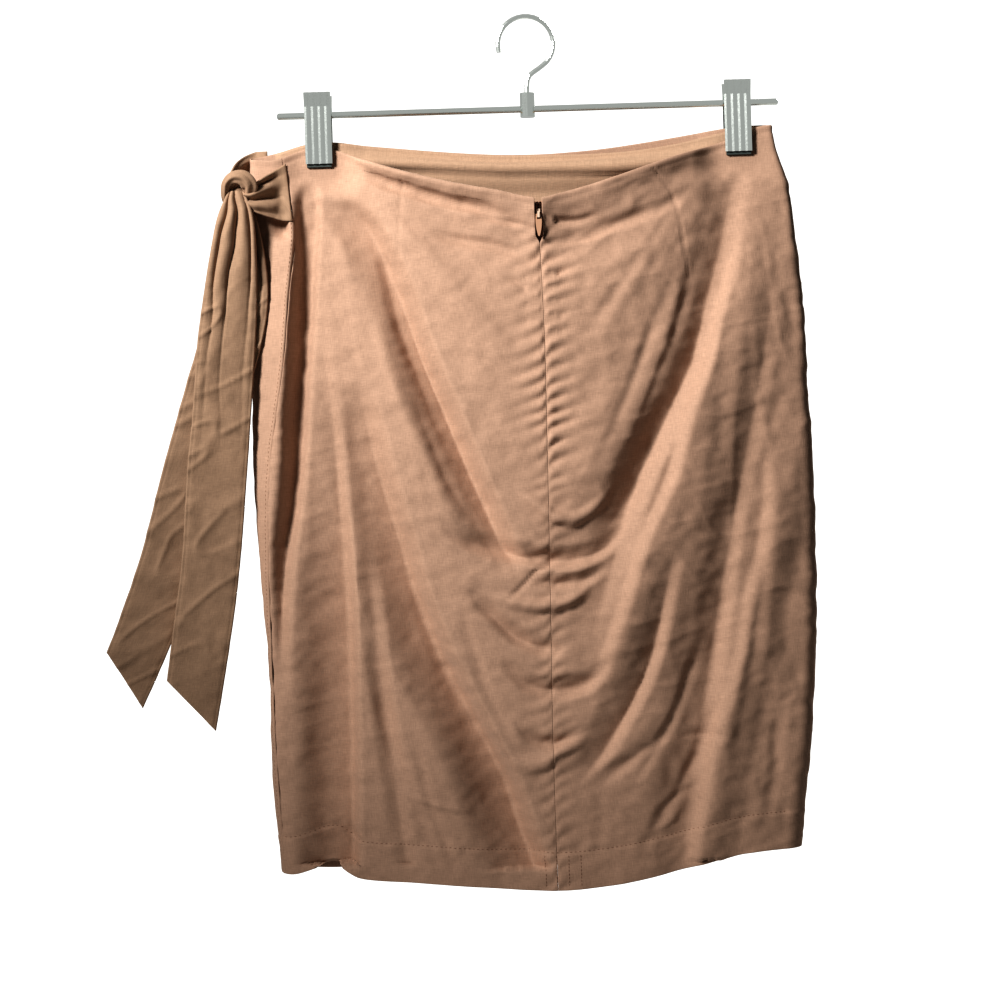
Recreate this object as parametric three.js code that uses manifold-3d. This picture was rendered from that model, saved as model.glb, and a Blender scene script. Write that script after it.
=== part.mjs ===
// A linen wrap skirt that hangs from a two-clip hanger.
// Millimetres, +Z up. The back of the skirt faces -Y, +X is to the right as one looks at that back,
// and the origin is the point of the hook that rests on a rail.
// A level is a height above the waist line that the clips hold, so most levels are negative.

import * as THREE from 'three';
import { mergeVertices } from 'three/addons/utils/BufferGeometryUtils.js';
import Module from 'manifold-3d';

// Driving dimensions
const HOOK_ABOVE_WAIST = 88;
const CLOTH = 1.2;
const SASH_CLOTH = 1.6;
const SEAM_GAP = 0.3;
const HEM_DEPTH = 28;
const FACING_CLOTH = 1.0;
const CLOTH_SHIFT_Y = -0.8;

const CLIP_X = 157;
const CLIP_WIDTH = 20;
const CLIPPED_HALF = 2.2;
const LAYER_GAP = 0.45;
const WRAP_LOOSE = 3.2;
const CLIP_BOTTOM = -17;
const PAD_BOTTOM = -19.3;
const BAR_LEVEL = 20;
const BAR_RADIUS = 2.5;
const BAR_HALF_LENGTH = 188;
const HOOK_RADIUS = 19;
const WIRE_RADIUS = 1.8;

const ZIP_GAP_HALF = 2.1;
const ZIP_GAP_END = -71;
const ZIP_GAP_TAPER = 5;
const ZIP_LENGTH = 180;
const ZIP_TAPE_HALF = 10;
const SLIDER_LEVEL = -64;
const TAB_LENGTH = 16.5;
const TAB_WIDTH = 5;

// Outline of the hanging tube, one row for each section: the two side folds, how round they are,
// and how far the back and the front stand away from the middle plane.
const BODY = [
  { level: 6, left: -209.0, right: 182.0, round: 3.6, back: 33, front: 7 },
  { level: -15, left: -209.3, right: 185.2, round: 4.0, back: 34, front: 8 },
  { level: -45, left: -210.0, right: 194.0, round: 5.2, back: 35, front: 11 },
  { level: -105, left: -211.5, right: 199.2, round: 6.5, back: 38, front: 16 },
  { level: -180, left: -213.0, right: 203.6, round: 8.0, back: 41, front: 20 },
  { level: -250, left: -214.2, right: 205.6, round: 9.5, back: 42, front: 23 },
  { level: -330, left: -210.0, right: 206.0, round: 11.0, back: 42, front: 26 },
  { level: -395, left: -206.4, right: 204.7, round: 12.0, back: 41, front: 28 },
  { level: -450, left: -206.8, right: 199.6, round: 12.5, back: 40, front: 29 },
  { level: -490, left: -206.0, right: 193.5, round: 12.5, back: 39, front: 30 },
  { level: -525, left: -202.4, right: 188.5, round: 12.5, back: 38, front: 30 },
  { level: -566, left: -200.0, right: 184.0, round: 12.5, back: 37, front: 30 },
];

// Waist edges: the back sags to a V at the zip, the under front lies a little below the wrap front.
const WAIST = [
  { x: -212, back: -11.5, wrap: -11.0, under: -11.0 },
  { x: -190, back: -13.0, wrap: -7.0, under: -7.5 },
  { x: -166, back: -5.0, wrap: -1.0, under: -1.8 },
  { x: -147, back: -6.0, wrap: 0.0, under: -0.8 },
  { x: -123, back: -16.0, wrap: -3.0, under: -3.8 },
  { x: -97, back: -27.5, wrap: -5.8, under: -6.6 },
  { x: -60, back: -40.5, wrap: -9.6, under: -10.4 },
  { x: -23, back: -49.5, wrap: -12.4, under: -13.2 },
  { x: 5, back: -56.5, wrap: -13.0, under: -13.8 },
  { x: 22, back: -52.0, wrap: -12.6, under: -14.0 },
  { x: 53, back: -40.0, wrap: -10.7, under: -14.0 },
  { x: 83, back: -29.0, wrap: -7.4, under: -12.5 },
  { x: 113, back: -19.0, wrap: -3.4, under: -8.5 },
  { x: 147, back: -8.5, wrap: 1.3, under: -2.0 },
  { x: 168, back: 0.5, wrap: 3.0, under: 0.0 },
  { x: 186, back: 2.6, wrap: 2.6, under: 1.0 },
];

// Hem edges: the back has a short upward wave near the left side and hangs lowest at the middle.
const HEM = [
  { x: -206, back: -545.0, front: -545.0 },
  { x: -190, back: -546.0, front: -544.5 },
  { x: -168, back: -540.0, front: -545.0 },
  { x: -157, back: -540.0, front: -545.5 },
  { x: -150, back: -544.5, front: -545.5 },
  { x: -142, back: -549.0, front: -545.5 },
  { x: -128, back: -551.0, front: -546.0 },
  { x: -98, back: -553.0, front: -546.0 },
  { x: -53, back: -557.0, front: -547.0 },
  { x: 3, back: -561.0, front: -547.0 },
  { x: 37, back: -559.5, front: -546.0 },
  { x: 70, back: -555.0, front: -543.0 },
  { x: 112, back: -546.5, front: -538.0 },
  { x: 145, back: -540.0, front: -535.5 },
  { x: 190, back: -537.5, front: -537.0 },
];

// Seams and free edges, given by where they run at each level.
const SEAMS = [
  { level: 4, side: -186.5, middle: 5.0, wrapEdge: -196, underEdge: 168 },
  { level: -35, side: -181.5, middle: 5.0, wrapEdge: -196, underEdge: 168 },
  { level: -66, side: -176.5, middle: 5.2, wrapEdge: -192, underEdge: 165 },
  { level: -117, side: -182.0, middle: 6.4, wrapEdge: -181, underEdge: 158 },
  { level: -165, side: -187.0, middle: 7.0, wrapEdge: -166, underEdge: 152 },
  { level: -240, side: -199.0, middle: 6.4, wrapEdge: -141, underEdge: 143 },
  { level: -300, side: -202.5, middle: 6.0, wrapEdge: -123, underEdge: 136 },
  { level: -370, side: -203.0, middle: 5.2, wrapEdge: -104, underEdge: 126 },
  { level: -450, side: -202.0, middle: 4.2, wrapEdge: -88, underEdge: 112 },
  { level: -566, side: -196.0, middle: 4.6, wrapEdge: -76, underEdge: 92 },
];

// Lines of points that all panels share at the station level: beside the clips, round the side folds
// in quarters of the fold, and evenly between. Drops are the first rows below a panel's upper edge.
const STATION_LEVEL = -12;
const BESIDE_CLIP = [-19, -11.5, 0, 11.5, 19];
const ROUND_FOLD = [-2.2, -1, -0.5, 0, 0.5, 1, 2.2];
const BACK_DROPS = [0, 5, 10.5, 17, 26, 37, 50];
const FRONT_DROPS = [0, 11, 22, 33.5, 45];

// Folds of the back, each through three points of its line. Before and after are its reach to the
// left and right of a line that runs down, or below and above one that runs across. A positive depth
// pushes the cloth in, a negative one lifts it, and sharp goes from 0, rolled, to 1, creased.
const BACK_FOLDS_DOWN = [
  { top: [-166, -20], mid: [-183, -192], low: [-205, -390], before: 13, after: 12, depth: 15, sharp: 0.3,
    fadeTop: 14, fadeLow: 120 },
  { top: [-182, -26], mid: [-190, -200], low: [-200, -400], before: 24, after: 20, depth: -7, sharp: 0,
    fadeTop: 60, fadeLow: 120 },
  { top: [-154, -30], mid: [-168, -245], low: [-148, -566], before: 16, after: 26, depth: -6, sharp: 0,
    fadeTop: 50, fadeLow: 1 },
  { top: [-196, -290], mid: [-182, -420], low: [-171, -566], before: 24, after: 16, depth: 8, sharp: 0.3,
    fadeTop: 90, fadeLow: 1 },
  { top: [-134, -46], mid: [-82, -176], low: [-22, -292], before: 32, after: 16, depth: 5, sharp: 0.4,
    fadeTop: 50, fadeLow: 50 },
  { top: [-138, -180], mid: [-82, -380], low: [-16, -566], before: 42, after: 17, depth: 9, sharp: 0.6,
    fadeTop: 110, fadeLow: 1 },
  { top: [154, -34], mid: [103, -225], low: [46, -326], before: 34, after: 15, depth: 9, sharp: 0.5,
    fadeTop: 50, fadeLow: 40 },
  { top: [120, -190], mid: [80, -330], low: [6, -457], before: 14, after: 26, depth: -7, sharp: 0.1,
    fadeTop: 60, fadeLow: 40 },
  { top: [97, -300], mid: [65, -395], low: [-8, -484], before: 15, after: 20, depth: 6, sharp: 0.5,
    fadeTop: 50, fadeLow: 40 },
  { top: [72, -452], mid: [40, -478], low: [4, -516], before: 13, after: 14, depth: 4, sharp: 0.4,
    fadeTop: 24, fadeLow: 24 },
  { top: [186, -60], mid: [149, -235], low: [104, -400], before: 32, after: 22, depth: 6, sharp: 0.1,
    fadeTop: 60, fadeLow: 80 },
  { top: [186, -190], mid: [165, -375], low: [104, -550], before: 22, after: 22, depth: -4, sharp: 0,
    fadeTop: 90, fadeLow: 60 },
];
const BACK_FOLDS_ACROSS = [
  { top: [-70, -262], mid: [0, -318], low: [56, -312], before: 10, after: 16, depth: 6, sharp: 0.4,
    fadeTop: 24, fadeLow: 20 },
  { top: [-44, -330], mid: [0, -343], low: [40, -338], before: 9, after: 9, depth: -3, sharp: 0,
    fadeTop: 20, fadeLow: 20 },
  { top: [-50, -345], mid: [0, -368], low: [48, -354], before: 9, after: 14, depth: 4, sharp: 0.4,
    fadeTop: 20, fadeLow: 20 },
  { top: [-28, -398], mid: [8, -412], low: [50, -398], before: 8, after: 14, depth: 4, sharp: 0.4,
    fadeTop: 16, fadeLow: 16 },
  { top: [-32, -438], mid: [0, -452], low: [32, -446], before: 8, after: 13, depth: 3, sharp: 0.4,
    fadeTop: 14, fadeLow: 14 },
  { top: [-150, -14], mid: [-60, -52], low: [2, -66], before: 10, after: 12, depth: 3, sharp: 0.2,
    fadeTop: 30, fadeLow: 20 },
];

// Folds of the hidden front, softer than those of the back.
const FRONT_FOLDS_DOWN = [
  { top: [-152, -30], mid: [-120, -240], low: [-54, -470], before: 24, after: 34, depth: 6, sharp: 0.2,
    fadeTop: 50, fadeLow: 60 },
  { top: [152, -30], mid: [126, -250], low: [86, -500], before: 36, after: 22, depth: 6, sharp: 0.3,
    fadeTop: 50, fadeLow: 60 },
  { top: [-96, -120], mid: [-60, -280], low: [6, -440], before: 26, after: 26, depth: -4, sharp: 0,
    fadeTop: 70, fadeLow: 70 },
  { top: [104, -60], mid: [64, -240], low: [22, -566], before: 30, after: 20, depth: 5, sharp: 0.2,
    fadeTop: 70, fadeLow: 1 },
  { top: [-176, -140], mid: [-170, -340], low: [-164, -566], before: 22, after: 22, depth: 6, sharp: 0.2,
    fadeTop: 90, fadeLow: 1 },
];
const FRONT_FOLDS_ACROSS = [
  { top: [-112, -20], mid: [0, -31], low: [112, -20], before: 12, after: 12, depth: 3, sharp: 0.1,
    fadeTop: 40, fadeLow: 40 },
];

// Lobes of the knot, as ellipsoids: centre, half sizes and a turn about the Y axis in degrees.
const KNOT = [
  { x: -218, y: -19, level: -36, wide: 11, deep: 8, high: 15, turn: 8 },
  { x: -219, y: -22, level: -27, wide: 13.5, deep: 7.5, high: 7, turn: -28 },
  { x: -209, y: -20, level: -33, wide: 6, deep: 7.5, high: 11.5, turn: 28 },
];

// Tails of the sash, a row for each line across: both edges, the depth in front of the middle plane,
// how much further forward the left edge lies, and how strongly the cloth is gathered there.
const NEAR_TAIL = [
  { leftX: -224, left: -37, rightX: -212, right: -38, depth: 22.5, lean: 0, gather: 0.5 },
  { leftX: -232, left: -55, rightX: -206, right: -55, depth: 24, lean: 1, gather: 1.0 },
  { leftX: -237.5, left: -78, rightX: -204.5, right: -80, depth: 24, lean: 2, gather: 0.9 },
  { leftX: -244, left: -112, rightX: -205, right: -110, depth: 23.5, lean: 2, gather: 0.65 },
  { leftX: -250, left: -148, rightX: -207, right: -142, depth: 22.5, lean: 2, gather: 0.4 },
  { leftX: -255.5, left: -200, rightX: -212, right: -196, depth: 21, lean: 1, gather: 0.25 },
  { leftX: -261.5, left: -250, rightX: -217, right: -247, depth: 19.5, lean: 0, gather: 0.2 },
  { leftX: -266.5, left: -306, rightX: -223.5, right: -308, depth: 18.5, lean: -1, gather: 0.15 },
  { leftX: -274.5, left: -357, rightX: -231.5, right: -362, depth: 17.5, lean: -1, gather: 0.15 },
  { leftX: -281, left: -399, rightX: -246, right: -438, depth: 17, lean: 0, gather: 0.1 },
];
const FAR_TAIL = [
  { leftX: -222, left: -40, rightX: -212, right: -40, depth: 14.6, lean: 0, gather: 0.3 },
  { leftX: -228, left: -57, rightX: -204.5, right: -57, depth: 14.0, lean: 0, gather: 0.4 },
  { leftX: -232, left: -85, rightX: -198.5, right: -88, depth: 16.0, lean: -1, gather: 0.5 },
  { leftX: -238, left: -115, rightX: -197.5, right: -120, depth: 16.6, lean: -1, gather: 0.4 },
  { leftX: -248, left: -143, rightX: -204, right: -153, depth: 16.2, lean: -1, gather: 0.3 },
  { leftX: -260, left: -179, rightX: -217, right: -192, depth: 15, lean: 0, gather: 0.3 },
  { leftX: -279, left: -240, rightX: -237.5, right: -255, depth: 13, lean: 1, gather: 0.25 },
  { leftX: -297.5, left: -303, rightX: -257, right: -318, depth: 11, lean: 1, gather: 0.2 },
  { leftX: -315, left: -350, rightX: -275.5, right: -366, depth: 9.5, lean: 0, gather: 0.2 },
  { leftX: -326, left: -377, rightX: -301, right: -420, depth: 9, lean: 0, gather: 0.1 },
];

// Gathers across a tail: place as a share of its width, half width as a share, and rise in mm.
const TAIL_GATHERS = [
  { at: 0.12, half: 0.13, rise: 2.4 },
  { at: 0.4, half: 0.14, rise: 3.0 },
  { at: 0.68, half: 0.13, rise: 2.4 },
  { at: 0.92, half: 0.1, rise: 1.4 },
];

// Pleats of the sash where it leaves the side seam, by place down its width.
const ROOT_PLEATS = [
  { at: 0.22, half: 0.16, rise: 3.2 },
  { at: 0.58, half: 0.18, rise: 4.0 },
  { at: 0.88, half: 0.12, rise: 2.0 },
];

const cloth = new THREE.MeshStandardMaterial({ name: 'linen', color: 0xc4967a, roughness: 0.85 });
const facing = new THREE.MeshStandardMaterial({ name: 'facing', color: 0xbf927a, roughness: 0.85 });
const tape = new THREE.MeshStandardMaterial({ name: 'zip_tape', color: 0xa87c66, roughness: 0.8 });
const enamel = new THREE.MeshStandardMaterial({ name: 'enamel', color: 0xc89c84, roughness: 0.35 });
const chrome = new THREE.MeshStandardMaterial({ name: 'chrome', color: 0xd8dcdc, roughness: 0.2, metalness: 1 });
const rubber = new THREE.MeshStandardMaterial({ name: 'rubber', color: 0x2f3433, roughness: 0.7 });

const clamp = THREE.MathUtils.clamp;
const lerp = THREE.MathUtils.lerp;
const smooth = THREE.MathUtils.smoothstep;

// Smooth reading of one column of a table whose rows are in order of another column.
function read(table, by, column, value) {
  const first = table[0][by];
  const last = table[table.length - 1][by];
  const step = Math.sign(last - first);
  const place = clamp(value, Math.min(first, last), Math.max(first, last));
  let row = 0;
  while (row < table.length - 2 && (table[row + 1][by] - place) * step < 0) row += 1;
  const slopeAt = (index) => {
    const before = table[Math.max(index - 1, 0)];
    const after = table[Math.min(index + 1, table.length - 1)];
    return (after[column] - before[column]) / (after[by] - before[by]);
  };
  const width = table[row + 1][by] - table[row][by];
  const t = (place - table[row][by]) / width;
  const rise = t * t * (3 - 2 * t);
  return lerp(table[row][column], table[row + 1][column], rise)
    + slopeAt(row) * width * t * (1 - t) ** 2
    - slopeAt(row + 1) * width * t * t * (1 - t);
}

// How far one fold pushes the cloth in, at a place along and a place across its line.
function foldPush(fold, along, across, start, middle, end) {
  const [a0, a1, a2] = [start[0], middle[0], end[0]];
  if ((along - a0) * (along - a2) >= 0) return 0;
  const line = start[1] * ((along - a1) * (along - a2)) / ((a0 - a1) * (a0 - a2))
    + middle[1] * ((along - a0) * (along - a2)) / ((a1 - a0) * (a1 - a2))
    + end[1] * ((along - a0) * (along - a1)) / ((a2 - a0) * (a2 - a1));
  const offset = across - line;
  const t = Math.abs(offset) / (offset < 0 ? fold.before : fold.after);
  if (t >= 1) return 0;
  const rolled = (1 - t * t) ** 2;
  const creased = (1 - t) ** 2;
  const fade = smooth(Math.abs(along - a0), 0, fold.fadeTop) * smooth(Math.abs(along - a2), 0, fold.fadeLow);
  return fold.depth * lerp(rolled, creased, fold.sharp) * fade;
}

function foldsAt(down, across, x, level) {
  let push = 0;
  for (const fold of down) {
    const [top, mid, low] = [fold.top, fold.mid, fold.low].map(([px, pz]) => [pz, px]);
    push += foldPush(fold, level, x, top, mid, low);
  }
  for (const fold of across) push += foldPush(fold, x, level, fold.top, fold.mid, fold.low);
  return push;
}

function bodyAt(level) {
  const row = {};
  for (const column of ['left', 'right', 'round', 'back', 'front']) row[column] = read(BODY, 'level', column, level);
  row.quarter = row.round * Math.PI / 2;
  row.span = row.right - row.left - 2 * row.round + 2 * row.quarter;
  return row;
}

// Length along the cloth from the left side fold to a given x, on either face of the tube.
function runTo(level, x) {
  const body = bodyAt(level);
  const fromLeft = x - body.left;
  const fromRight = body.right - x;
  if (fromLeft < body.round) return body.round * Math.acos(clamp(1 - fromLeft / body.round, -1, 1));
  if (fromRight < body.round) return body.span - body.round * Math.acos(clamp(1 - fromRight / body.round, -1, 1));
  return body.quarter + fromLeft - body.round;
}

// Half depth of the tube at a place on one face, before the cloth's thickness.
function halfDepth(body, isBack, x, level, cap) {
  const middle = (body.left + body.right) / 2;
  const half = (body.right - body.left) / 2;
  const swell = (1 - Math.min(Math.abs(x - middle) / half, 1) ** 2.2) ** 1.3;
  const below = Math.max(-20 - level, 0);
  let pinch = 0;
  let grip = 0;
  for (const clipX of [-CLIP_X, CLIP_X]) {
    const distance = Math.abs(x - clipX);
    pinch += Math.exp(-((distance / (36 + 0.12 * below)) ** 2)) * Math.exp(-below / 110);
    grip += (1 - smooth(distance, CLIP_WIDTH / 2 + 1.5, 19)) * (1 - smooth(below, 5, 22));
  }
  const depth = (isBack ? body.back : body.front) - body.round;
  const toSide = Math.min(x - body.left, body.right - x);
  const folds = isBack ? foldsAt(BACK_FOLDS_DOWN, BACK_FOLDS_ACROSS, x, level)
    : foldsAt(FRONT_FOLDS_DOWN, FRONT_FOLDS_ACROSS, x, level);
  const whole = cap + depth * swell * (1 - pinch);
  const room = Math.max(whole - CLIPPED_HALF, 0.01);
  const push = folds * smooth(toSide, 0, 16);
  const free = whole - (push > 0 ? room * (1 - Math.exp(-push / room)) : push);
  return lerp(free, CLIPPED_HALF, grip);
}

// A point of the tube. The arc runs from 0 at the left side fold along the back to the right side
// fold, and on along the front. A negative arc runs along the front from the left side fold.
function tubePoint(level, arc) {
  const body = bodyAt(level);
  const isBack = arc >= 0 && arc <= body.span;
  let run = Math.abs(arc);
  if (arc > body.span) run = 2 * body.span - arc;
  let x = body.left + body.round + run - body.quarter;
  let cap = body.round;
  if (run < body.quarter) {
    x = body.left + body.round * (1 - Math.cos(run / body.round));
    cap = body.round * Math.sin(run / body.round);
  } else if (run > body.span - body.quarter) {
    const back = (body.span - run) / body.round;
    x = body.right - body.round * (1 - Math.cos(back));
    cap = body.round * Math.sin(back);
  }
  const depth = halfDepth(body, isBack, x, level, cap);
  return new THREE.Vector3(x, (isBack ? -depth : depth) + CLOTH_SHIFT_Y, level - HOOK_ABOVE_WAIST);
}

// The same point moved out of the tube along its normal.
function shellPoint(level, arc, out) {
  const reach = 1.5;
  const along = tubePoint(level, arc + reach).sub(tubePoint(level, arc - reach));
  const up = tubePoint(level + reach, arc).sub(tubePoint(level - reach, arc));
  const normal = along.cross(up).normalize();
  return tubePoint(level, arc).addScaledVector(normal, out);
}

// A closed wall between an outer and an inner grid of points, rows from top to bottom.
function wall(name, material, outer, inner) {
  const rows = outer.length;
  const columns = outer[0].length;
  const grid = rows * columns;
  const positions = [...outer.flat(), ...inner.flat()].flatMap((point) => point.toArray());
  const faces = [];
  const quad = (a, b, c, d) => faces.push(a, b, c, a, c, d);
  const at = (row, column) => row * columns + column;
  for (let row = 0; row < rows - 1; row += 1) {
    for (let column = 0; column < columns - 1; column += 1) {
      const corners = [at(row, column), at(row + 1, column), at(row + 1, column + 1), at(row, column + 1)];
      quad(...corners);
      quad(...corners.map((corner) => corner + grid).reverse());
    }
    quad(at(row + 1, 0), at(row, 0), at(row, 0) + grid, at(row + 1, 0) + grid);
    const last = columns - 1;
    quad(at(row, last), at(row + 1, last), at(row + 1, last) + grid, at(row, last) + grid);
  }
  for (let column = 0; column < columns - 1; column += 1) {
    quad(at(0, column), at(0, column + 1), at(0, column + 1) + grid, at(0, column) + grid);
    const last = rows - 1;
    quad(at(last, column + 1), at(last, column), at(last, column) + grid, at(last, column + 1) + grid);
  }
  const geometry = new THREE.BufferGeometry();
  geometry.setAttribute('position', new THREE.Float32BufferAttribute(positions, 3));
  geometry.setIndex(faces);
  return named(name, material, geometry);
}

function named(name, material, geometry) {
  const mesh = new THREE.Mesh(geometry, material);
  mesh.name = name;
  return mesh;
}

// Arcs of the shared lines of points at the station level, round the whole tube.
function stations(spacing) {
  const { span, quarter } = bodyAt(STATION_LEVEL);
  const clips = [-CLIP_X, CLIP_X].flatMap((x) => BESIDE_CLIP.map((aside) => runTo(STATION_LEVEL, x + aside)));
  const lines = [
    ...ROUND_FOLD.map((share) => share * quarter),
    ...clips,
    ...ROUND_FOLD.map((share) => span + share * quarter),
    ...clips.map((run) => 2 * span - run),
  ].sort((a, b) => a - b);
  const filled = [];
  lines.forEach((line, index) => {
    filled.push(line);
    const next = index + 1 < lines.length ? lines[index + 1] : 2 * span + lines[0];
    const pieces = Math.ceil((next - line) / spacing);
    for (let piece = 1; piece < pieces; piece += 1) filled.push(lerp(line, next, piece / pieces));
  });
  return [...filled.map((arc) => arc - 2 * span), ...filled];
}

// Shares of a panel's width at which its lines of points stand.
function columnShares(start, end, spacing) {
  const [from, to] = [start(STATION_LEVEL), end(STATION_LEVEL)];
  const least = 1.6;
  const inside = stations(spacing).filter((arc) => arc > from + least && arc < to - least);
  return [0, ...inside.map((arc) => (arc - from) / (to - from)), 1];
}

// A panel of the tube between two seams. Start and end give arcs by level, top and bottom give
// levels by x, and the wall goes between two distances off the tube. The turned hem doubles the
// wall on its inside.
function panel({ name, material = cloth, start, end, top, bottom, spacing, drops, rows, layer, hem = HEM_DEPTH }) {
  const outerGrid = [];
  const innerGrid = [];
  const shares = columnShares(start, end, spacing);
  const lines = drops.map((drop) => ({ drop, share: 0, up: 0, thick: 0 }));
  for (let row = 1; row <= rows; row += 1) {
    lines.push({ drop: drops[drops.length - 1], share: row / rows, up: hem ? hem + 0.6 : 0, thick: 0 });
  }
  if (hem) lines.push({ drop: 0, share: 1, up: hem, thick: CLOTH }, { drop: 0, share: 1, up: 0, thick: CLOTH });
  for (const line of lines) {
    const outerRow = [];
    const innerRow = [];
    for (const share of shares) {
      let level = -line.drop - line.share * 500;
      let arc = 0;
      for (let pass = 0; pass < 4; pass += 1) {
        arc = lerp(start(level), end(level), share);
        const x = tubePoint(level, arc).x;
        const isBack = arc > 0 && arc < bodyAt(level).span;
        level = lerp(top(x, isBack) - line.drop, bottom(x, isBack) + line.up, line.share);
      }
      const [from, to] = layer(level, arc);
      outerRow.push(shellPoint(level, arc, to));
      innerRow.push(shellPoint(level, arc, from - line.thick));
    }
    outerGrid.push(outerRow);
    innerGrid.push(innerRow);
  }
  return wall(name, material, outerGrid, innerGrid);
}

const waist = (column) => (x, isBack) => read(WAIST, 'x', isBack ? 'back' : column, x);
const hemLine = (x, isBack) => read(HEM, 'x', isBack ? 'back' : 'front', x);
const seamX = (column, level) => read(SEAMS, 'level', column, level);
const sideSeam = (level) => runTo(level, seamX('side', level));
const middleSeam = (level) => runTo(level, seamX('middle', level));
const rightSeam = (level) => bodyAt(level).span + 5;
const wrapEdge = (level) => 2 * bodyAt(level).span - runTo(level, seamX('wrapEdge', level));
const zipGap = (level) => SEAM_GAP / 2 + ZIP_GAP_HALF * smooth(level, ZIP_GAP_END, ZIP_GAP_END + ZIP_GAP_TAPER);

function skirtPanels() {
  const skin = () => [-CLOTH, 0];
  const backLeft = panel({
    name: 'back_left',
    start: sideSeam,
    end: (level) => middleSeam(level) - zipGap(level),
    top: waist('wrap'),
    bottom: hemLine,
    spacing: 11,
    drops: BACK_DROPS,
    rows: 16,
    layer: skin,
  });
  const backRight = panel({
    name: 'back_right',
    start: (level) => middleSeam(level) + zipGap(level),
    end: rightSeam,
    top: waist('wrap'),
    bottom: hemLine,
    spacing: 11,
    drops: BACK_DROPS,
    rows: 16,
    layer: skin,
  });
  const underFront = panel({
    name: 'front_under',
    start: (level) => -runTo(level, seamX('underEdge', level)),
    end: (level) => sideSeam(level) - SEAM_GAP,
    top: waist('under'),
    bottom: hemLine,
    spacing: 22,
    drops: BACK_DROPS,
    rows: 16,
    layer: skin,
  });
  const wrapFront = panel({
    name: 'front_wrap',
    start: (level) => rightSeam(level) + SEAM_GAP,
    end: wrapEdge,
    top: waist('wrap'),
    bottom: hemLine,
    spacing: 20,
    drops: FRONT_DROPS,
    rows: 11,
    layer: (level, arc) => {
      const aside = Math.abs(Math.abs(tubePoint(level, arc).x) - CLIP_X);
      const besideClip = smooth(aside, CLIP_WIDTH / 2 + 2, 34) * smooth(-level, 2, 30);
      const loose = WRAP_LOOSE * Math.max(besideClip, smooth(-level, 19.5, 44));
      const lift = (CLOTH + LAYER_GAP + loose) * smooth(arc - rightSeam(level), 0.5, 8);
      return [lift - CLOTH, lift];
    },
  });
  return [backLeft, backRight, underFront, wrapFront];
}

// The facing lies inside the under front, along its waist, as deep as the last of the drops.
function frontFacing() {
  const top = waist('under');
  const outer = -CLOTH - LAYER_GAP;
  return panel({
    name: 'front_facing',
    material: facing,
    start: (level) => -runTo(level, 167),
    end: (level) => -runTo(level, -190),
    top,
    bottom: top,
    spacing: 22,
    drops: BACK_DROPS,
    rows: 0,
    layer: (level) => {
      const loose = 0.8 * smooth(-level, 20, 40);
      return [outer - FACING_CLOTH - loose, outer - loose];
    },
    hem: 0,
  });
}

function zipTape() {
  const topLevel = -59;
  return panel({
    name: 'zip_tape',
    material: tape,
    start: (level) => middleSeam(level) - ZIP_TAPE_HALF,
    end: (level) => middleSeam(level) + ZIP_TAPE_HALF,
    top: () => topLevel,
    bottom: () => topLevel - ZIP_LENGTH,
    spacing: 11,
    drops: [0, 6, 12, 20],
    rows: 7,
    layer: () => [-CLOTH - LAYER_GAP - 0.8, -CLOTH - LAYER_GAP],
    hem: 0,
  });
}

// A strip of cloth of even thickness about a grid of middle points.
function strip(name, points, thickness) {
  const grids = [thickness / 2, -thickness / 2].map((out) => points.map((row, i) => row.map((point, j) => {
    const along = row[Math.min(j + 1, row.length - 1)].clone().sub(row[Math.max(j - 1, 0)]);
    const above = points[Math.max(i - 1, 0)][j];
    const below = points[Math.min(i + 1, points.length - 1)][j];
    const normal = along.cross(above.clone().sub(below)).normalize();
    return point.clone().addScaledVector(normal, out);
  })));
  return wall(name, cloth, grids[0], grids[1]);
}

function gathered(table, share) {
  let rise = 0;
  for (const row of table) {
    const t = Math.abs(share - row.at) / row.half;
    if (t < 1) rise += row.rise * (1 - t * t) ** 2;
  }
  return rise;
}

function tail(name, table, rows) {
  const columns = 13;
  const steps = table.map((row, index) => ({ ...row, step: index }));
  const points = [];
  for (let i = 0; i <= rows; i += 1) {
    const step = (i / rows) * (table.length - 1);
    const now = {};
    for (const key of Object.keys(table[0])) now[key] = read(steps, 'step', key, step);
    const row = [];
    for (let j = 0; j <= columns; j += 1) {
      const share = j / columns;
      const forward = now.depth + now.lean * (0.5 - share) + now.gather * (gathered(TAIL_GATHERS, share) - 1.2);
      const level = lerp(now.left, now.right, share);
      row.push(new THREE.Vector3(lerp(now.leftX, now.rightX, share), -forward, level - HOOK_ABOVE_WAIST));
    }
    points.push(row);
  }
  return strip(name, points, SASH_CLOTH);
}

// The sash's two roots: the back one leaves the side seam, the front one leaves the wrap front's
// edge and comes round the side fold. Both end inside the knot and are cut clear of it.
function sashRoot({ name, arcAt, topLevel, lowLevel, aim, leaves, lift, puffs }) {
  const columns = 9;
  const rows = 11;
  const points = [];
  for (let i = 0; i <= rows; i += 1) {
    const down = i / rows;
    const row = [];
    for (let j = 0; j <= columns; j += 1) {
      const along = j / columns;
      const level = lerp(topLevel, lowLevel, down);
      const rise = smooth(along, 0.05, 0.9);
      const puff = gathered(ROOT_PLEATS, down) * rise * puffs;
      const onCloth = shellPoint(level, arcAt(level, Math.min(along / leaves, 1)), lift + puff + 3 * rise);
      const inKnot = new THREE.Vector3(aim.x, aim.y, aim.level - HOOK_ABOVE_WAIST + (0.5 - down) * aim.high);
      row.push(onCloth.lerp(inKnot, smooth(along, leaves / 2, 1)));
    }
    points.push(row);
  }
  return strip(name, points, SASH_CLOTH);
}

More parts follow.
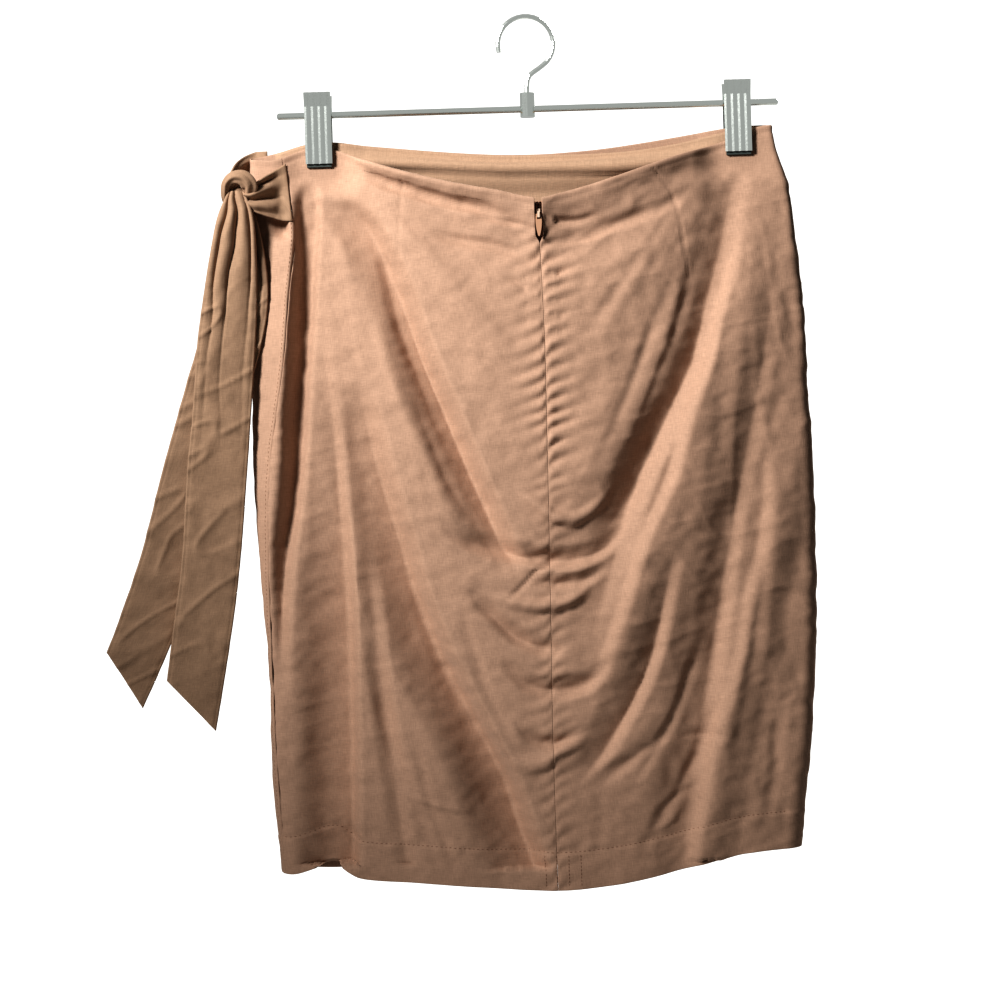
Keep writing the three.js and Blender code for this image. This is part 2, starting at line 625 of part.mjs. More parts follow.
function sashRoots() {
  const onPanel = LAYER_GAP + SASH_CLOTH / 2;
  const back = sashRoot({
    name: 'sash_root_back',
    arcAt: (level, along) => sideSeam(level) - SEAM_GAP - 24 * along,
    topLevel: -13,
    lowLevel: -57,
    aim: { x: -211, y: -20, level: -37, high: 15 },
    leaves: 0.7,
    lift: onPanel,
    puffs: 1,
  });
  const front = sashRoot({
    name: 'sash_root_front',
    arcAt: (level, along) => lerp(wrapEdge(level) - 2 * bodyAt(level).span + SEAM_GAP, 1, along),
    topLevel: -5,
    lowLevel: -44,
    aim: { x: -224, y: -17, level: -33, high: 16 },
    leaves: 0.75,
    lift: onPanel,
    puffs: 0.4,
  });
  return [back, front];
}

const { Manifold, Mesh: SolidMesh } = await (async () => {
  const library = await Module();
  library.setup();
  return library;
})();

function toSolid(mesh) {
  mesh.updateMatrix();
  const geometry = mesh.geometry.clone().applyMatrix4(mesh.matrix);
  geometry.deleteAttribute('normal');
  geometry.deleteAttribute('uv');
  const merged = mergeVertices(geometry, 1e-4);
  const vertProperties = new Float32Array(merged.attributes.position.array);
  const triVerts = new Uint32Array(merged.index.array);
  return new Manifold(new SolidMesh({ numProp: 3, vertProperties, triVerts }));
}

function fromSolid(name, material, solid) {
  const mesh = solid.getMesh();
  const geometry = new THREE.BufferGeometry();
  geometry.setAttribute('position', new THREE.BufferAttribute(new Float32Array(mesh.vertProperties), 3));
  geometry.setIndex(new THREE.BufferAttribute(new Uint32Array(mesh.triVerts), 1));
  return named(name, material, geometry);
}

// The knot's lobes as one solid, grown by a clearance where it is used as a cutter.
function knotSolid(clearance) {
  let solid = null;
  for (const lobe of KNOT) {
    const ball = new THREE.Mesh(new THREE.SphereGeometry(1, 14, 9));
    ball.scale.set(lobe.wide + clearance, lobe.deep + clearance, lobe.high + clearance);
    ball.rotation.y = THREE.MathUtils.degToRad(lobe.turn);
    ball.position.set(lobe.x, lobe.y, lobe.level - HOOK_ABOVE_WAIST);
    const next = toSolid(ball);
    solid = solid ? solid.add(next) : next;
  }
  return solid;
}

function sash() {
  const cutter = knotSolid(SEAM_GAP);
  const roots = sashRoots();
  const strips = [...roots, tail('tail_near', NEAR_TAIL, 17), tail('tail_far', FAR_TAIL, 17)];
  const cut = strips.map((mesh) => fromSolid(mesh.name, cloth, toSolid(mesh).subtract(cutter)));
  return [fromSolid('knot', cloth, knotSolid(0)), ...cut];
}

function cylinder(radius, length, sides) {
  return new THREE.Mesh(new THREE.CylinderGeometry(radius, radius, length, sides));
}

// The slider rides in the gap at the top of the zip, and its bridge carries the pull tab's eye.
function zipPull() {
  const group = new THREE.Group();
  const seat = shellPoint(SLIDER_LEVEL, middleSeam(SLIDER_LEVEL), 0);
  const below = shellPoint(SLIDER_LEVEL - TAB_LENGTH, middleSeam(SLIDER_LEVEL - TAB_LENGTH), 0);
  group.position.copy(seat);
  group.rotation.x = Math.atan2(below.y - seat.y, seat.z - below.z);
  const axisOut = 2.4;
  const body = new THREE.Mesh(new THREE.BoxGeometry(2.6, 2.0, 6));
  body.position.set(0, 0.4, 2.2);
  const arch = new THREE.Mesh(new THREE.BoxGeometry(1.6, 4.4, 4.6));
  arch.position.set(0, -2.2, 0.6);
  const window = new THREE.Mesh(new THREE.BoxGeometry(4, 2.4, 2.6));
  window.position.set(0, -axisOut, 0.6);
  const slider = fromSolid('zip_slider', enamel, toSolid(body).add(toSolid(arch)).subtract(toSolid(window)));
  const outline = new THREE.Shape();
  outline.moveTo(-1.9, 0.55);
  outline.lineTo(1.9, 0.55);
  outline.quadraticCurveTo(TAB_WIDTH * 0.62, -TAB_LENGTH * 0.42, 0.7, -TAB_LENGTH + 1);
  outline.quadraticCurveTo(0, -TAB_LENGTH - 0.1, -0.7, -TAB_LENGTH + 1);
  outline.quadraticCurveTo(-TAB_WIDTH * 0.62, -TAB_LENGTH * 0.42, -1.9, 0.55);
  const eye = new THREE.Path();
  eye.moveTo(-1.2, -0.55);
  eye.lineTo(-1.2, -3.4);
  eye.lineTo(1.2, -3.4);
  eye.lineTo(1.2, -0.55);
  eye.closePath();
  outline.holes.push(eye);
  const plate = new THREE.ExtrudeGeometry(outline, { depth: 1.0, bevelEnabled: false, curveSegments: 7 });
  plate.translate(0, 0, -0.5);
  plate.rotateX(Math.PI / 2);
  const tab = named('zip_pull_tab', enamel, plate);
  tab.position.set(0, -axisOut, 0.6);
  group.add(slider, tab);
  return group;
}

// A clip: a sleeve on the bar, two fluted jaws and the two pads that grip the waist.
function clip(side, centreX) {
  const pieces = [];
  const padInner = CLIPPED_HALF - CLOTH_SHIFT_Y + SEAM_GAP;
  const padThick = 2.0;
  const jawInner = padInner + padThick + SEAM_GAP;
  const jawThick = 1.0;
  const jawTop = 36;
  const flutes = 4;
  for (const [face, sign] of [['front', -1], ['back', 1]]) {
    const pad = new THREE.Mesh(new THREE.BoxGeometry(CLIP_WIDTH - 1.6, padThick, -2 - PAD_BOTTOM), rubber);
    pad.name = `clip_${side}_pad_${face}`;
    pad.position.set(centreX, sign * (padInner + padThick / 2), (PAD_BOTTOM - 2) / 2 - HOOK_ABOVE_WAIST);
    const profile = [[CLIP_BOTTOM, 0], [8, 0], [26, 0], [jawTop, 4.5]];
    const outer = [];
    const inner = [];
    const columns = flutes * 3 + 1;
    for (const [level, flare] of [...profile].reverse()) {
      const outerRow = [];
      const innerRow = [];
      for (let column = 0; column < columns; column += 1) {
        const share = column / (columns - 1);
        const rib = 0.9 * Math.sin(share * flutes * Math.PI) ** 2;
        const x = centreX - sign * (0.5 - share) * CLIP_WIDTH * -1;
        const z = level - HOOK_ABOVE_WAIST;
        outerRow.push(new THREE.Vector3(x, sign * (jawInner + jawThick + rib + flare), z));
        innerRow.push(new THREE.Vector3(x, sign * (jawInner + flare), z));
      }
      outer.push(outerRow);
      inner.push(innerRow);
    }
    pieces.push(pad, wall(`clip_${side}_jaw_${face}`, chrome, outer, inner));
  }
  const sleeve = new THREE.Mesh(new THREE.BoxGeometry(CLIP_WIDTH - 4, 2 * (jawInner - SEAM_GAP), 11));
  sleeve.position.set(centreX, 0, BAR_LEVEL - HOOK_ABOVE_WAIST);
  const bore = cylinder(BAR_RADIUS + SEAM_GAP, CLIP_WIDTH * 2, 16);
  bore.rotation.z = Math.PI / 2;
  bore.position.copy(sleeve.position);
  pieces.push(fromSolid(`clip_${side}_sleeve`, chrome, toSolid(sleeve).subtract(toSolid(bore))));
  return pieces;
}

function hanger() {
  const barZ = BAR_LEVEL - HOOK_ABOVE_WAIST;
  const endRound = 1.2;
  const profile = [
    [0, -BAR_HALF_LENGTH],
    [BAR_RADIUS - endRound, -BAR_HALF_LENGTH],
    [BAR_RADIUS, -BAR_HALF_LENGTH + endRound],
    [BAR_RADIUS, BAR_HALF_LENGTH - endRound],
    [BAR_RADIUS - endRound, BAR_HALF_LENGTH],
    [0, BAR_HALF_LENGTH],
  ];
  const bar = named('hanger_bar', chrome, new THREE.LatheGeometry(profile.map((p) => new THREE.Vector2(...p)), 16));
  bar.rotation.z = -Math.PI / 2;
  bar.position.z = barZ;

  const collarHigh = 18;
  const collar = cylinder(5.5, collarHigh, 16);
  collar.rotation.x = Math.PI / 2;
  collar.position.z = barZ + 3;
  const barBore = cylinder(BAR_RADIUS + SEAM_GAP, 40, 16);
  barBore.rotation.z = Math.PI / 2;
  barBore.position.z = barZ;
  const shankHole = cylinder(WIRE_RADIUS + SEAM_GAP, 16, 12);
  shankHole.rotation.x = Math.PI / 2;
  shankHole.position.z = barZ + 5 + 8;
  const collarSolid = toSolid(collar).subtract(toSolid(barBore)).subtract(toSolid(shankHole));

  const ring = HOOK_RADIUS + WIRE_RADIUS;
  const route = [
    new THREE.Vector3(0, 0, barZ + 5 + SEAM_GAP),
    new THREE.Vector3(0, 0, barZ + 14),
    new THREE.Vector3(1.5, 0, -HOOK_RADIUS - ring - 4),
  ];
  for (let angle = -62; angle <= 196; angle += 21.5) {
    const turn = THREE.MathUtils.degToRad(angle);
    route.push(new THREE.Vector3(ring * Math.cos(turn), 0, ring * Math.sin(turn) - HOOK_RADIUS));
  }
  const wire = new THREE.Shape();
  wire.absarc(0, 0, WIRE_RADIUS, 0, Math.PI * 2);
  const hookShape = new THREE.ExtrudeGeometry(wire, {
    steps: 30,
    curveSegments: 4,
    bevelEnabled: false,
    extrudePath: new THREE.CatmullRomCurve3(route, false, 'centripetal'),
  });
  return [bar, fromSolid('hanger_collar', chrome, collarSolid), named('hanger_hook', chrome, hookShape)];
}

const skirt = new THREE.Group();
skirt.add(...skirtPanels(), frontFacing(), zipTape(), ...sash(), zipPull());
skirt.add(...clip('left', -CLIP_X), ...clip('right', CLIP_X), ...hanger());

export default skirt;
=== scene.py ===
# The looks of a linen wrap skirt that hangs from a two-clip hanger.
# The tables and functions of the cloth are in millimetres, as in the part's source, and turn into
# metres where a mesh is made. A level is a height above the waist line that the clips hold.

import math

import bpy
import numpy as np
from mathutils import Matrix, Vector


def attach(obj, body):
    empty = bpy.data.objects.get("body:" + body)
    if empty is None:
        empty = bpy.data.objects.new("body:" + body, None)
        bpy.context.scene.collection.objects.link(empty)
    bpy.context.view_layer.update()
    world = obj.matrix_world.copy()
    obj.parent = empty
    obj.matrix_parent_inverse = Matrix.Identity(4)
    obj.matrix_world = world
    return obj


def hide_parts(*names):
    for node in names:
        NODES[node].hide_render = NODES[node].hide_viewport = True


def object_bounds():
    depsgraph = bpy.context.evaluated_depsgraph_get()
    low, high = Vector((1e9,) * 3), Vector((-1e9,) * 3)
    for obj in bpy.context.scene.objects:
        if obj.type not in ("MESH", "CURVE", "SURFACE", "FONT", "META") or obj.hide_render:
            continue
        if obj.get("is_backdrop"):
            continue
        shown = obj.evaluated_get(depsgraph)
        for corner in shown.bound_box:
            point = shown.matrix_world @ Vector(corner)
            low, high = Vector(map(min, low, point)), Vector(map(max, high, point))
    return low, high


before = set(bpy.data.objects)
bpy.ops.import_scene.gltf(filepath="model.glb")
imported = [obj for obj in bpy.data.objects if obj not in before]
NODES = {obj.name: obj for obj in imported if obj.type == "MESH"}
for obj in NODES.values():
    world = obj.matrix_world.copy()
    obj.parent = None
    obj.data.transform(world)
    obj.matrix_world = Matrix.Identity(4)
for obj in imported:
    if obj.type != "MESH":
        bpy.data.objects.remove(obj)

CAD_BOX = [list(corner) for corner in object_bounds()]
MM = 0.001

# Driving dimensions. The rough length is the first guess of where a panel's hem lies.
HOOK_ABOVE_WAIST = 88
SIDE_LENGTH = 540
ROUGH_LENGTH = 500
CLOTH_SHIFT_Y = -0.8
CLOTH = 0.5
STRIP_CLOTH = 0.6
SASH_CLOTH = 1.5
SASH_WIDTH = 45
WALL = 1.2
TURN_DEPTH = 9
TURN_GAP = 0.12
SEAM_GAP = 0.12
HEM_DEPTH = 28
STITCH_LENGTH = 2.0
STITCH_THICK = 0.42
THREAD_WIDTH = 0.6

# The clips, and how wide and how far down they pinch the tube
CLIP_X = 157
CLIP_WIDTH = 20
CLIP_DOWN = 19
CLIPPED_HALF = 2.2
PINCH_WIDE = 36
PINCH_SPREAD = 0.12
PINCH_DOWN = 110

# The wrap layer, the facing and the heights of creases and wrinkles
LAYER_GAP = 0.45
WRAP_LOOSE = 3.2
FACING_LEFT = -190
FACING_RIGHT = 167
FACING_DEPTH = 50
FACING_SAG = 6.5
CREASE_DEPTH = 1.3
WRINKLE_LIMIT = 4.2

# The zip, and the gap that the cloth leaves over its top
ZIP_RISE = 3.4
ZIP_GAP_HALF = 2.7
ZIP_GAP_END = -85
ZIP_GAP_TAPER = 8
ZIP_TAPE_TOP = -53
ZIP_LENGTH = 180
ZIP_TAPE_HALF = 10
WAIST_DROP = 62

# Sewn seams: depth of the groove, and height, spacing and reach of the puckers beside it
MIDDLE_SEWING = dict(depth=0.15, pucker=4.0, spacing=11.5, reach=9)
SIDE_SEWING = dict(depth=0.1, pucker=0.3, spacing=11, reach=6.5)


def table(columns, rows):
    """A table as one array for each named column."""
    return dict(zip(columns.split(), np.array(rows, float).T))


# Outline of the hanging tube: the two side folds, how round they are, and how far the back and the
# front stand away from the middle plane.
BODY = table("level left right round back front", [
    (6, -209, 182, 3.6, 33, 7),
    (-15, -209.3, 185.2, 4, 34, 8),
    (-45, -210, 194, 5.2, 35, 11),
    (-105, -211.5, 199.2, 6.5, 38, 16),
    (-180, -213, 203.6, 8, 41, 20),
    (-250, -214.2, 205.6, 9.5, 42, 23),
    (-330, -210, 206, 11, 42, 26),
    (-395, -206.4, 204.7, 12, 41, 28),
    (-450, -206.8, 199.6, 12.5, 40, 29),
    (-490, -206, 193.5, 12.5, 39, 30),
    (-525, -202.4, 188.5, 12.5, 38, 30),
    (-566, -200, 184, 12.5, 37, 30),
])

# Waist edges: the back sags to a V at the zip, the under front lies a little below the wrap front.
WAIST = table("x back wrap under", [
    (-212, -11.5, -11, -11),
    (-190, -13, -7, -7.5),
    (-166, -5, -1, -1.8),
    (-147, -6, 0, -0.8),
    (-123, -16, -3, -3.8),
    (-97, -25.5, -5.8, -6.6),
    (-60, -36.5, -9.6, -10.4),
    (-23, -44.5, -12.4, -13.2),
    (5, -51, -13, -13.8),
    (22, -47.5, -12.6, -14),
    (53, -39, -10.7, -14),
    (83, -29, -7.4, -12.5),
    (113, -19, -3.4, -8.5),
    (147, -8.5, 1.3, -2),
    (168, 0.5, 3, 0),
    (186, 2.6, 2.6, 1),
])

# Hem edges: the back has a short upward wave near the left side and hangs lowest at the middle.
HEM = table("x back front", [
    (-206, -545, -545),
    (-190, -546, -544.5),
    (-168, -540, -545),
    (-157, -540, -545.5),
    (-150, -544.5, -545.5),
    (-142, -549, -545.5),
    (-128, -551, -546),
    (-98, -553, -546),
    (-53, -557, -547),
    (3, -561, -547),
    (37, -559.5, -546),
    (70, -555, -543),
    (112, -546.5, -538),
    (145, -540, -535.5),
    (190, -537.5, -537),
])

# Seams and free edges, given by where they run at each level.
SEAMS = table("level side middle wrapEdge underEdge", [
    (4, -186.5, 5, -196, 168),
    (-35, -181.5, 5, -196, 168),
    (-66, -176.5, 5.2, -192, 165),
    (-117, -182, 6.4, -181, 158),
    (-165, -187, 7, -166, 152),
    (-240, -199, 6.4, -141, 143),
    (-300, -202.5, 6, -123, 136),
    (-370, -203, 5.2, -104, 126),
    (-450, -202, 4.2, -88, 112),
    (-566, -196, 4.6, -76, 92),
])

# Folds: the reach before and after a fold's line (left and right of one that runs down, below and
# above one that runs across), how sharp it is from 0 to 1, and points (x, level, depth) of its line.
# A positive depth pushes the cloth in, a negative one lifts it.
BACK_FOLDS_DOWN = [
    (14, 10, 0.5, [(-165, -29, 0), (-165, -47, 18), (-167, -84, 22), (-170, -120, 22), (-173, -157, 21),
        (-177, -194, 20), (-180, -231, 19), (-184, -267, 17), (-190, -304, 14), (-194, -341, 11),
        (-197, -378, 7), (-200, -420, 0)]),
    (24, 20, 0, [(-169, -25, 0), (-179, -91, -6), (-191, -216, -7), (-202, -311, -4), (-209, -399, 0)]),
    (44, 9, 0.35, [(-156, -160, 0), (-152, -209, 4), (-149, -268, 10), (-147, -313, 16), (-146, -357, 23),
        (-146, -416, 28), (-147, -490, 31), (-148, -540, 29)]),
    (12, 10, 0.3, [(-132, -300, 0), (-126, -350, 4), (-120, -420, 5), (-113, -480, 4), (-106, -540, 3)]),
    (42, 15, 0.45, [(-133, -181, 0), (-127, -212, 10), (-117, -256, 18), (-105, -300, 24),
        (-94, -344, 27), (-77, -388, 29), (-56, -432, 30), (-35, -475, 30), (-21, -519, 25),
        (-12, -545, 17)]),
    (30, 15, 0.45, [(-137, -45, 0), (-124, -63, 12), (-109, -94, 18), (-96, -130, 22), (-84, -167, 26),
        (-67, -212, 26), (-58, -235, 25), (-50, -256, 24), (-40, -280, 21), (-31, -302, 15),
        (-18, -330, 0)]),
    (26, 16, 0.4, [(158, -27, 0), (150, -49, 3), (142, -82, 5), (128, -130, 8), (116, -173, 10),
        (94, -217, 11), (72, -261, 10), (58, -304, 7), (46, -340, 4), (34, -380, 0)]),
    (40, 16, 0.3, [(94, -200, 0), (72, -261, 5), (48, -296, 5), (22, -318, 0)]),
    (12, 60, 0, [(163, -57, 0), (157, -101, -4), (146, -130, -6), (134, -174, -7), (117, -217, -8),
        (103, -262, -8), (82, -305, -8), (67, -349, -7), (50, -392, -4), (36, -421, 0)]),
    (28, 10, 0.5, [(99, -306, 0), (89, -350, 5), (82, -379, 7), (76, -398, 8), (66, -420, 8),
        (54, -441, 8), (40, -462, 6), (20, -485, 0)]),
    (34, 14, 0.2, [(140, -320, 0), (128, -380, 5), (117, -430, 6), (107, -480, 6), (99, -530, 5),
        (95, -560, 4)]),
    (18, 12, 0.3, [(91, -436, 0), (80, -452, 2.5), (68, -461, 3), (53, -472, 3), (31, -490, 0)]),
    (20, 12, 0.4, [(186, -43, 0), (183, -87, 1), (174, -146, 2), (167, -182, 2.5), (158, -226, 2.5),
        (147, -272, 3), (135, -331, 4), (122, -400, 3), (112, -453, 0)]),
    (14, 26, 0, [(183, -220, 0), (177, -284, -5), (171, -317, -6), (160, -352, -6), (149, -401, -6),
        (133, -449, -6), (122, -498, -5), (113, -542, -3)]),
]
BACK_FOLDS_ACROSS = [
    (8, 13, 0.3, [(-74, -292, 0), (-56, -302, 5), (-31, -311, 7), (-1, -317, 8), (24, -318, 8),
        (47, -310, 6), (66, -290, 0)]),
    (34, 26, 0, [(-128, -34, 0), (-90, -52, 3), (-50, -70, 5), (5, -82, 6), (55, -72, 5), (100, -50, 3),
        (128, -34, 0)]),
    (7, 8, 0.1, [(-18, -264, 0), (0, -279, -3), (22, -289, -4), (44, -277, -2), (56, -263, 0)]),
    (7, 10, 0.3, [(-16, -326, 0), (2, -334, 4), (28, -334, 5), (50, -323, 0)]),
    (7, 7, 0.1, [(-40, -343, 0), (-21, -348, -3.5), (1, -351, -4), (24, -346, -3), (36, -339, 0)]),
    (9, 14, 0.35, [(-54, -344, 0), (-39, -357, 5), (-22, -373, 7), (0, -382, 5), (15, -380, 0)]),
    (9, 12, 0.35, [(-33, -393, 0), (-15, -408, 5), (7, -413, 6.5), (33, -408, 5), (49, -394, 0)]),
    (7, 9, 0.3, [(-26, -436, 0), (-13, -448, 3), (2, -453, 4), (20, -448, 3), (32, -441, 0)]),
    (9, 9, 0, [(-35, -461, 0), (-17, -467, -3), (2, -463, -4), (20, -451, -2), (32, -442, 0)]),
    (8, 6, 0.2, [(-131, -19, 0), (-111, -32, 3), (-74, -46, 4), (-38, -57, 4), (-5, -67, 0)]),
    (8, 8, 0.1, [(21, -81, 0), (50, -73, 2), (88, -62, 2.5), (125, -44, 0)]),
]
FRONT_FOLDS_DOWN = [
    (30, 38, 0, [(-152, -30, 0), (-143, -100, 6), (-120, -240, 8), (-88, -380, 7), (-54, -470, 0)]),
    (40, 28, 0, [(152, -30, 0), (145, -110, 6), (126, -250, 8), (106, -400, 7), (86, -500, 0)]),
    (26, 28, 0, [(-96, -120, 0), (-80, -200, -5), (-60, -280, -6), (-30, -360, -6), (6, -440, 0)]),
    (34, 26, 0, [(104, -60, 0), (84, -150, 6), (64, -240, 8), (38, -420, 7), (22, -566, 7)]),
    (24, 24, 0, [(-176, -140, 0), (-173, -230, 5), (-170, -340, 6), (-164, -566, 6)]),
    (28, 24, 0, [(-40, -200, 0), (-34, -300, 4), (-30, -420, 6), (-28, -566, 6)]),
    (24, 30, 0, [(60, -330, 0), (74, -400, 4), (82, -480, 5), (86, -566, 5)]),
]
FRONT_FOLDS_ACROSS = [
    (12, 12, 0.1, [(-112, -20, 0), (-60, -28, 3), (0, -31, 3), (60, -28, 3), (112, -20, 0)]),
]

# Small creases of the back: puckers, smiles and short set creases.
BACK_CREASES_DOWN = [
    (9, 7, 0.5, [(-118, -60, 0), (-108, -105, 1.2), (-98, -150, 1.2), (-58, -260, 0)]),
    (8, 6, 0.5, [(-96, -180, 0), (-82, -220, 1), (-66, -260, 1), (-26, -330, 0)]),
    (9, 8, 0.4, [(-104, -300, 0), (-92, -345, 1.2), (-78, -390, 1.2), (-44, -470, 0)]),
    (8, 7, 0.4, [(-62, -340, 0), (-54, -375, 1.2), (-44, -410, 1.2), (-12, -480, 0)]),
    (9, 9, 0.3, [(-126, -390, 0), (-118, -430, 1.4), (-108, -470, 1.4), (-84, -540, 0.6)]),
    (7, 7, 0.3, [(-98, -440, 0), (-93, -470, 1), (-86, -500, 1), (-70, -548, 0.4)]),
    (8, 7, 0.4, [(120, -96, 0), (109, -133, 1.2), (96, -170, 1.2), (58, -250, 0)]),
    (7, 7, 0.4, [(92, -130, 0), (82, -160, 1), (70, -190, 1), (36, -262, 0)]),
    (8, 7, 0.5, [(118, -376, 0), (106, -408, 1.6), (92, -440, 1.6), (52, -500, 0)]),
    (8, 7, 0.4, [(128, -420, 0), (119, -445, 1.3), (108, -470, 1.3), (78, -520, 0)]),
    (10, 10, 0.2, [(166, -300, 0), (161, -350, 1.4), (154, -400, 1.4), (130, -500, 0)]),
    (8, 8, 0.2, [(176, -420, 0), (172, -450, 1.2), (168, -480, 1.2), (158, -530, 0)]),
    (8, 6, 0.2, [(98, -498, 0), (94, -506, -0.7), (88, -514, -0.7), (70, -524, 0)]),
    (8, 8, 0.3, [(64, -545, 0), (76, -520, 0.9), (88, -500, 0.9), (112, -484, 0)]),
]
BACK_CREASES_ACROSS = [
    (4, 4, 0.4, [(-32, -350, 0), (-17, -338, 1.6), (-1, -323, 1.8), (18, -316, 0)]),
    (8, 5, 0.3, [(-79, -69, 0), (-60, -77, 2), (-31, -83, 2.2), (-3, -93, 0)]),
    (4, 5, 0.5, [(-44, -63, 0), (-26, -66, 2), (-12, -69, 2.2), (0, -71, 0.6)]),
    (5, 5, 0.3, [(9, -65, 0.6), (20, -68, 2.4), (36, -68, 2), (51, -63, 0)]),
    (4, 7, 0.3, [(14, -86, 0), (30, -83, 1.2), (50, -78, 1.2), (84, -62, 0)]),
    (4, 5, 0.4, [(-26, -106, 0), (-16, -111, 1.2), (-8, -115, 1.2), (0, -118, 0)]),
    (4, 5, 0.4, [(8, -112, 0), (16, -108, 1.1), (24, -104, 1.1), (36, -99, 0)]),
    (3, 4, 0.3, [(-110, -486, 0), (-94, -492, -1), (-76, -498, -1), (-56, -502, 0)]),
    (4, 5, 0.4, [(96, -452, 0), (110, -450, 0.7), (126, -451, 0.7), (142, -456, 0)]),
]
DARTS = [
    (1.7, 1.7, 0.8, [(-95, -32, 0.8), (-98, -68, 0.8), (-101, -104, 0.8), (-103, -128, 0)]),
    (1.7, 1.7, 0.8, [(90, -28, 0.8), (106, -51, 0.8), (114, -96, 0.8), (118, -128, 0)]),
]

# Tails of the sash, a row for each line across: both edges, the depth in front of the middle plane,
# how much further forward the left edge lies, and how strongly the cloth is gathered there.
NEAR_TAIL = table("leftX left rightX right depth lean gather", [
    (-224, -37, -212, -38, 22.5, 0, 0.5),
    (-232, -55, -206, -55, 24, 2, 1),
    (-237.5, -78, -204.5, -80, 24, 4, 0.95),
    (-244, -112, -205, -110, 22.5, 6, 0.5),
    (-250, -148, -207, -142, 20.5, 7, 0.25),
    (-255.5, -200, -212, -196, 19, 7, 0.1),
    (-261.5, -250, -217, -247, 18.5, 6, 0),
    (-266.5, -306, -223.5, -308, 17.5, 6, 0),
    (-274.5, -357, -231.5, -362, 17, 6, 0),
    (-281, -399, -246, -438, 16.5, 6, 0),
])
FAR_TAIL = table("leftX left rightX right depth lean gather", [
    (-222, -40, -212, -40, 14.6, 0, 0.3),
    (-228, -57, -204.5, -57, 14, 0, 0.4),
    (-232, -85, -198.5, -88, 15.5, 0, 0.4),
    (-238, -115, -197.5, -120, 15.5, 2, 0.2),
    (-248, -143, -204, -153, 14.6, 4, 0),
    (-260, -179, -217, -192, 13.4, 6, 0),
    (-279, -240, -237.5, -255, 12, 7, 0),
    (-297.5, -303, -257, -318, 10, 7, 0),
    (-315, -350, -275.5, -366, 9, 6, 0),
    (-326, -377, -301, -420, 8.5, 6, 0),
])

# Gathers and creases across a tail, and pleats of the sash's roots: place, half width and rise.
TAIL_GATHERS = [(0.08, 0.11, 1.4), (0.33, 0.17, 2.8), (0.68, 0.2, 2.2), (0.93, 0.09, 1.2),
                (0.2, 0.05, -1.5), (0.47, 0.04, -1.7), (0.84, 0.045, -1.2)]
ROOT_PLEATS = [(0.07, 0.09, 2.4), (0.37, 0.15, 4.2), (0.78, 0.18, 3.2),
               (0.19, 0.06, -2.4), (0.58, 0.07, -2.2)]

# The sash where it leaves the side seam for the knot, a row for each line down it: its upper and its
# lower edge, and how far it stands off the panel.
BACK_ROOT = table("topX top lowX low off", [
    (-182, -16, -177.5, -60, 0),
    (-189.5, -21, -184.5, -59.5, 0.6),
    (-196.5, -26, -190.5, -58, 4),
    (-202, -30, -199, -55.5, 7.5),
    (-207, -34.5, -206, -52.5, 9.5),
    (-213, -37, -213, -47, 9),
])

# Rolls of the knot: points of each roll's middle line with its half width and half depth.
KNOT_BAND = table("x y level wide deep", [
    (-227.5, -17, -46, 2, 2.4),
    (-227, -21, -39, 2.6, 3.4),
    (-225, -24, -32, 3.2, 4),
    (-219.5, -26, -27.8, 4.2, 4.4),
    (-212.5, -26, -28.2, 5.4, 4.8),
    (-208, -24, -33, 5.8, 4.8),
    (-208, -20, -39, 4.4, 4),
    (-210, -16, -43, 2.4, 3),
])
KNOT_CORE = table("x y level wide deep", [
    (-206, -14, -33, 4, 4),
    (-211, -16, -36, 5, 4.5),
    (-216, -18, -39, 6, 4.5),
    (-218, -18.5, -45, 7, 4.5),
    (-219, -18, -52, 7, 4),
])


def lerp(a, b, t):
    return a + (b - a) * t


def smooth(value, low, high):
    t = np.clip((value - low) / (high - low), 0, 1)
    return t * t * (3 - 2 * t)


def bell(offset, width):
    return np.exp(-((offset / width) ** 2))


def read(source, by, column, value):
    """Smooth reading of one column of a table whose rows are in order of another column."""
    keys, values = source[by], source[column]
    if keys[0] > keys[-1]:
        keys, values = keys[::-1], values[::-1]
    last = len(keys) - 1
    place = np.clip(value, keys[0], keys[-1])
    row = np.clip(np.searchsorted(keys, place, side="right") - 1, 0, last - 1)
    before = np.maximum(np.arange(last + 1) - 1, 0)
    after = np.minimum(np.arange(last + 1) + 1, last)
    slopes = (values[after] - values[before]) / (keys[after] - keys[before])
    width = keys[row + 1] - keys[row]
    t = (place - keys[row]) / width
    return (lerp(values[row], values[row + 1], t * t * (3 - 2 * t))
            + slopes[row] * width * t * (1 - t) ** 2
            - slopes[row + 1] * width * t * t * (1 - t))


def spread(source, count, across=False):
    """Even steps from a table's first row to its last, and every column read there."""
    last = len(next(iter(source.values()))) - 1
    step = np.linspace(0, last, count)
    step = step[None, :] if across else step[:, None]
    steps = dict(source, step=np.arange(last + 1.0))
    return step, {column: read(steps, "step", column, step) for column in source}


def fold_push(fold, x, level, down):
    """How far one fold pushes the cloth in."""
    before, after, sharp, points = fold
    line = table("x level depth", points)
    by, other, along, across = ("level", "x", level, x) if down else ("x", "level", x, level)
    offset = across - read(line, by, other, along)
    t = np.minimum(np.abs(offset) / np.where(offset < 0, before, after), 1)
    inside = (along - line[by][0]) * (along - line[by][-1]) < 0
    depth = np.where(inside, read(line, by, "depth", along), 0)
    return depth * lerp((1 - t * t) ** 2, (1 - t) ** 2, sharp)


def folds_at(down, across, x, level):
    """How far all folds of two tables push the cloth in."""
    push = np.zeros_like(x)
    for fold in down:
        push += fold_push(fold, x, level, True)
    for fold in across:
        push += fold_push(fold, x, level, False)
    return push


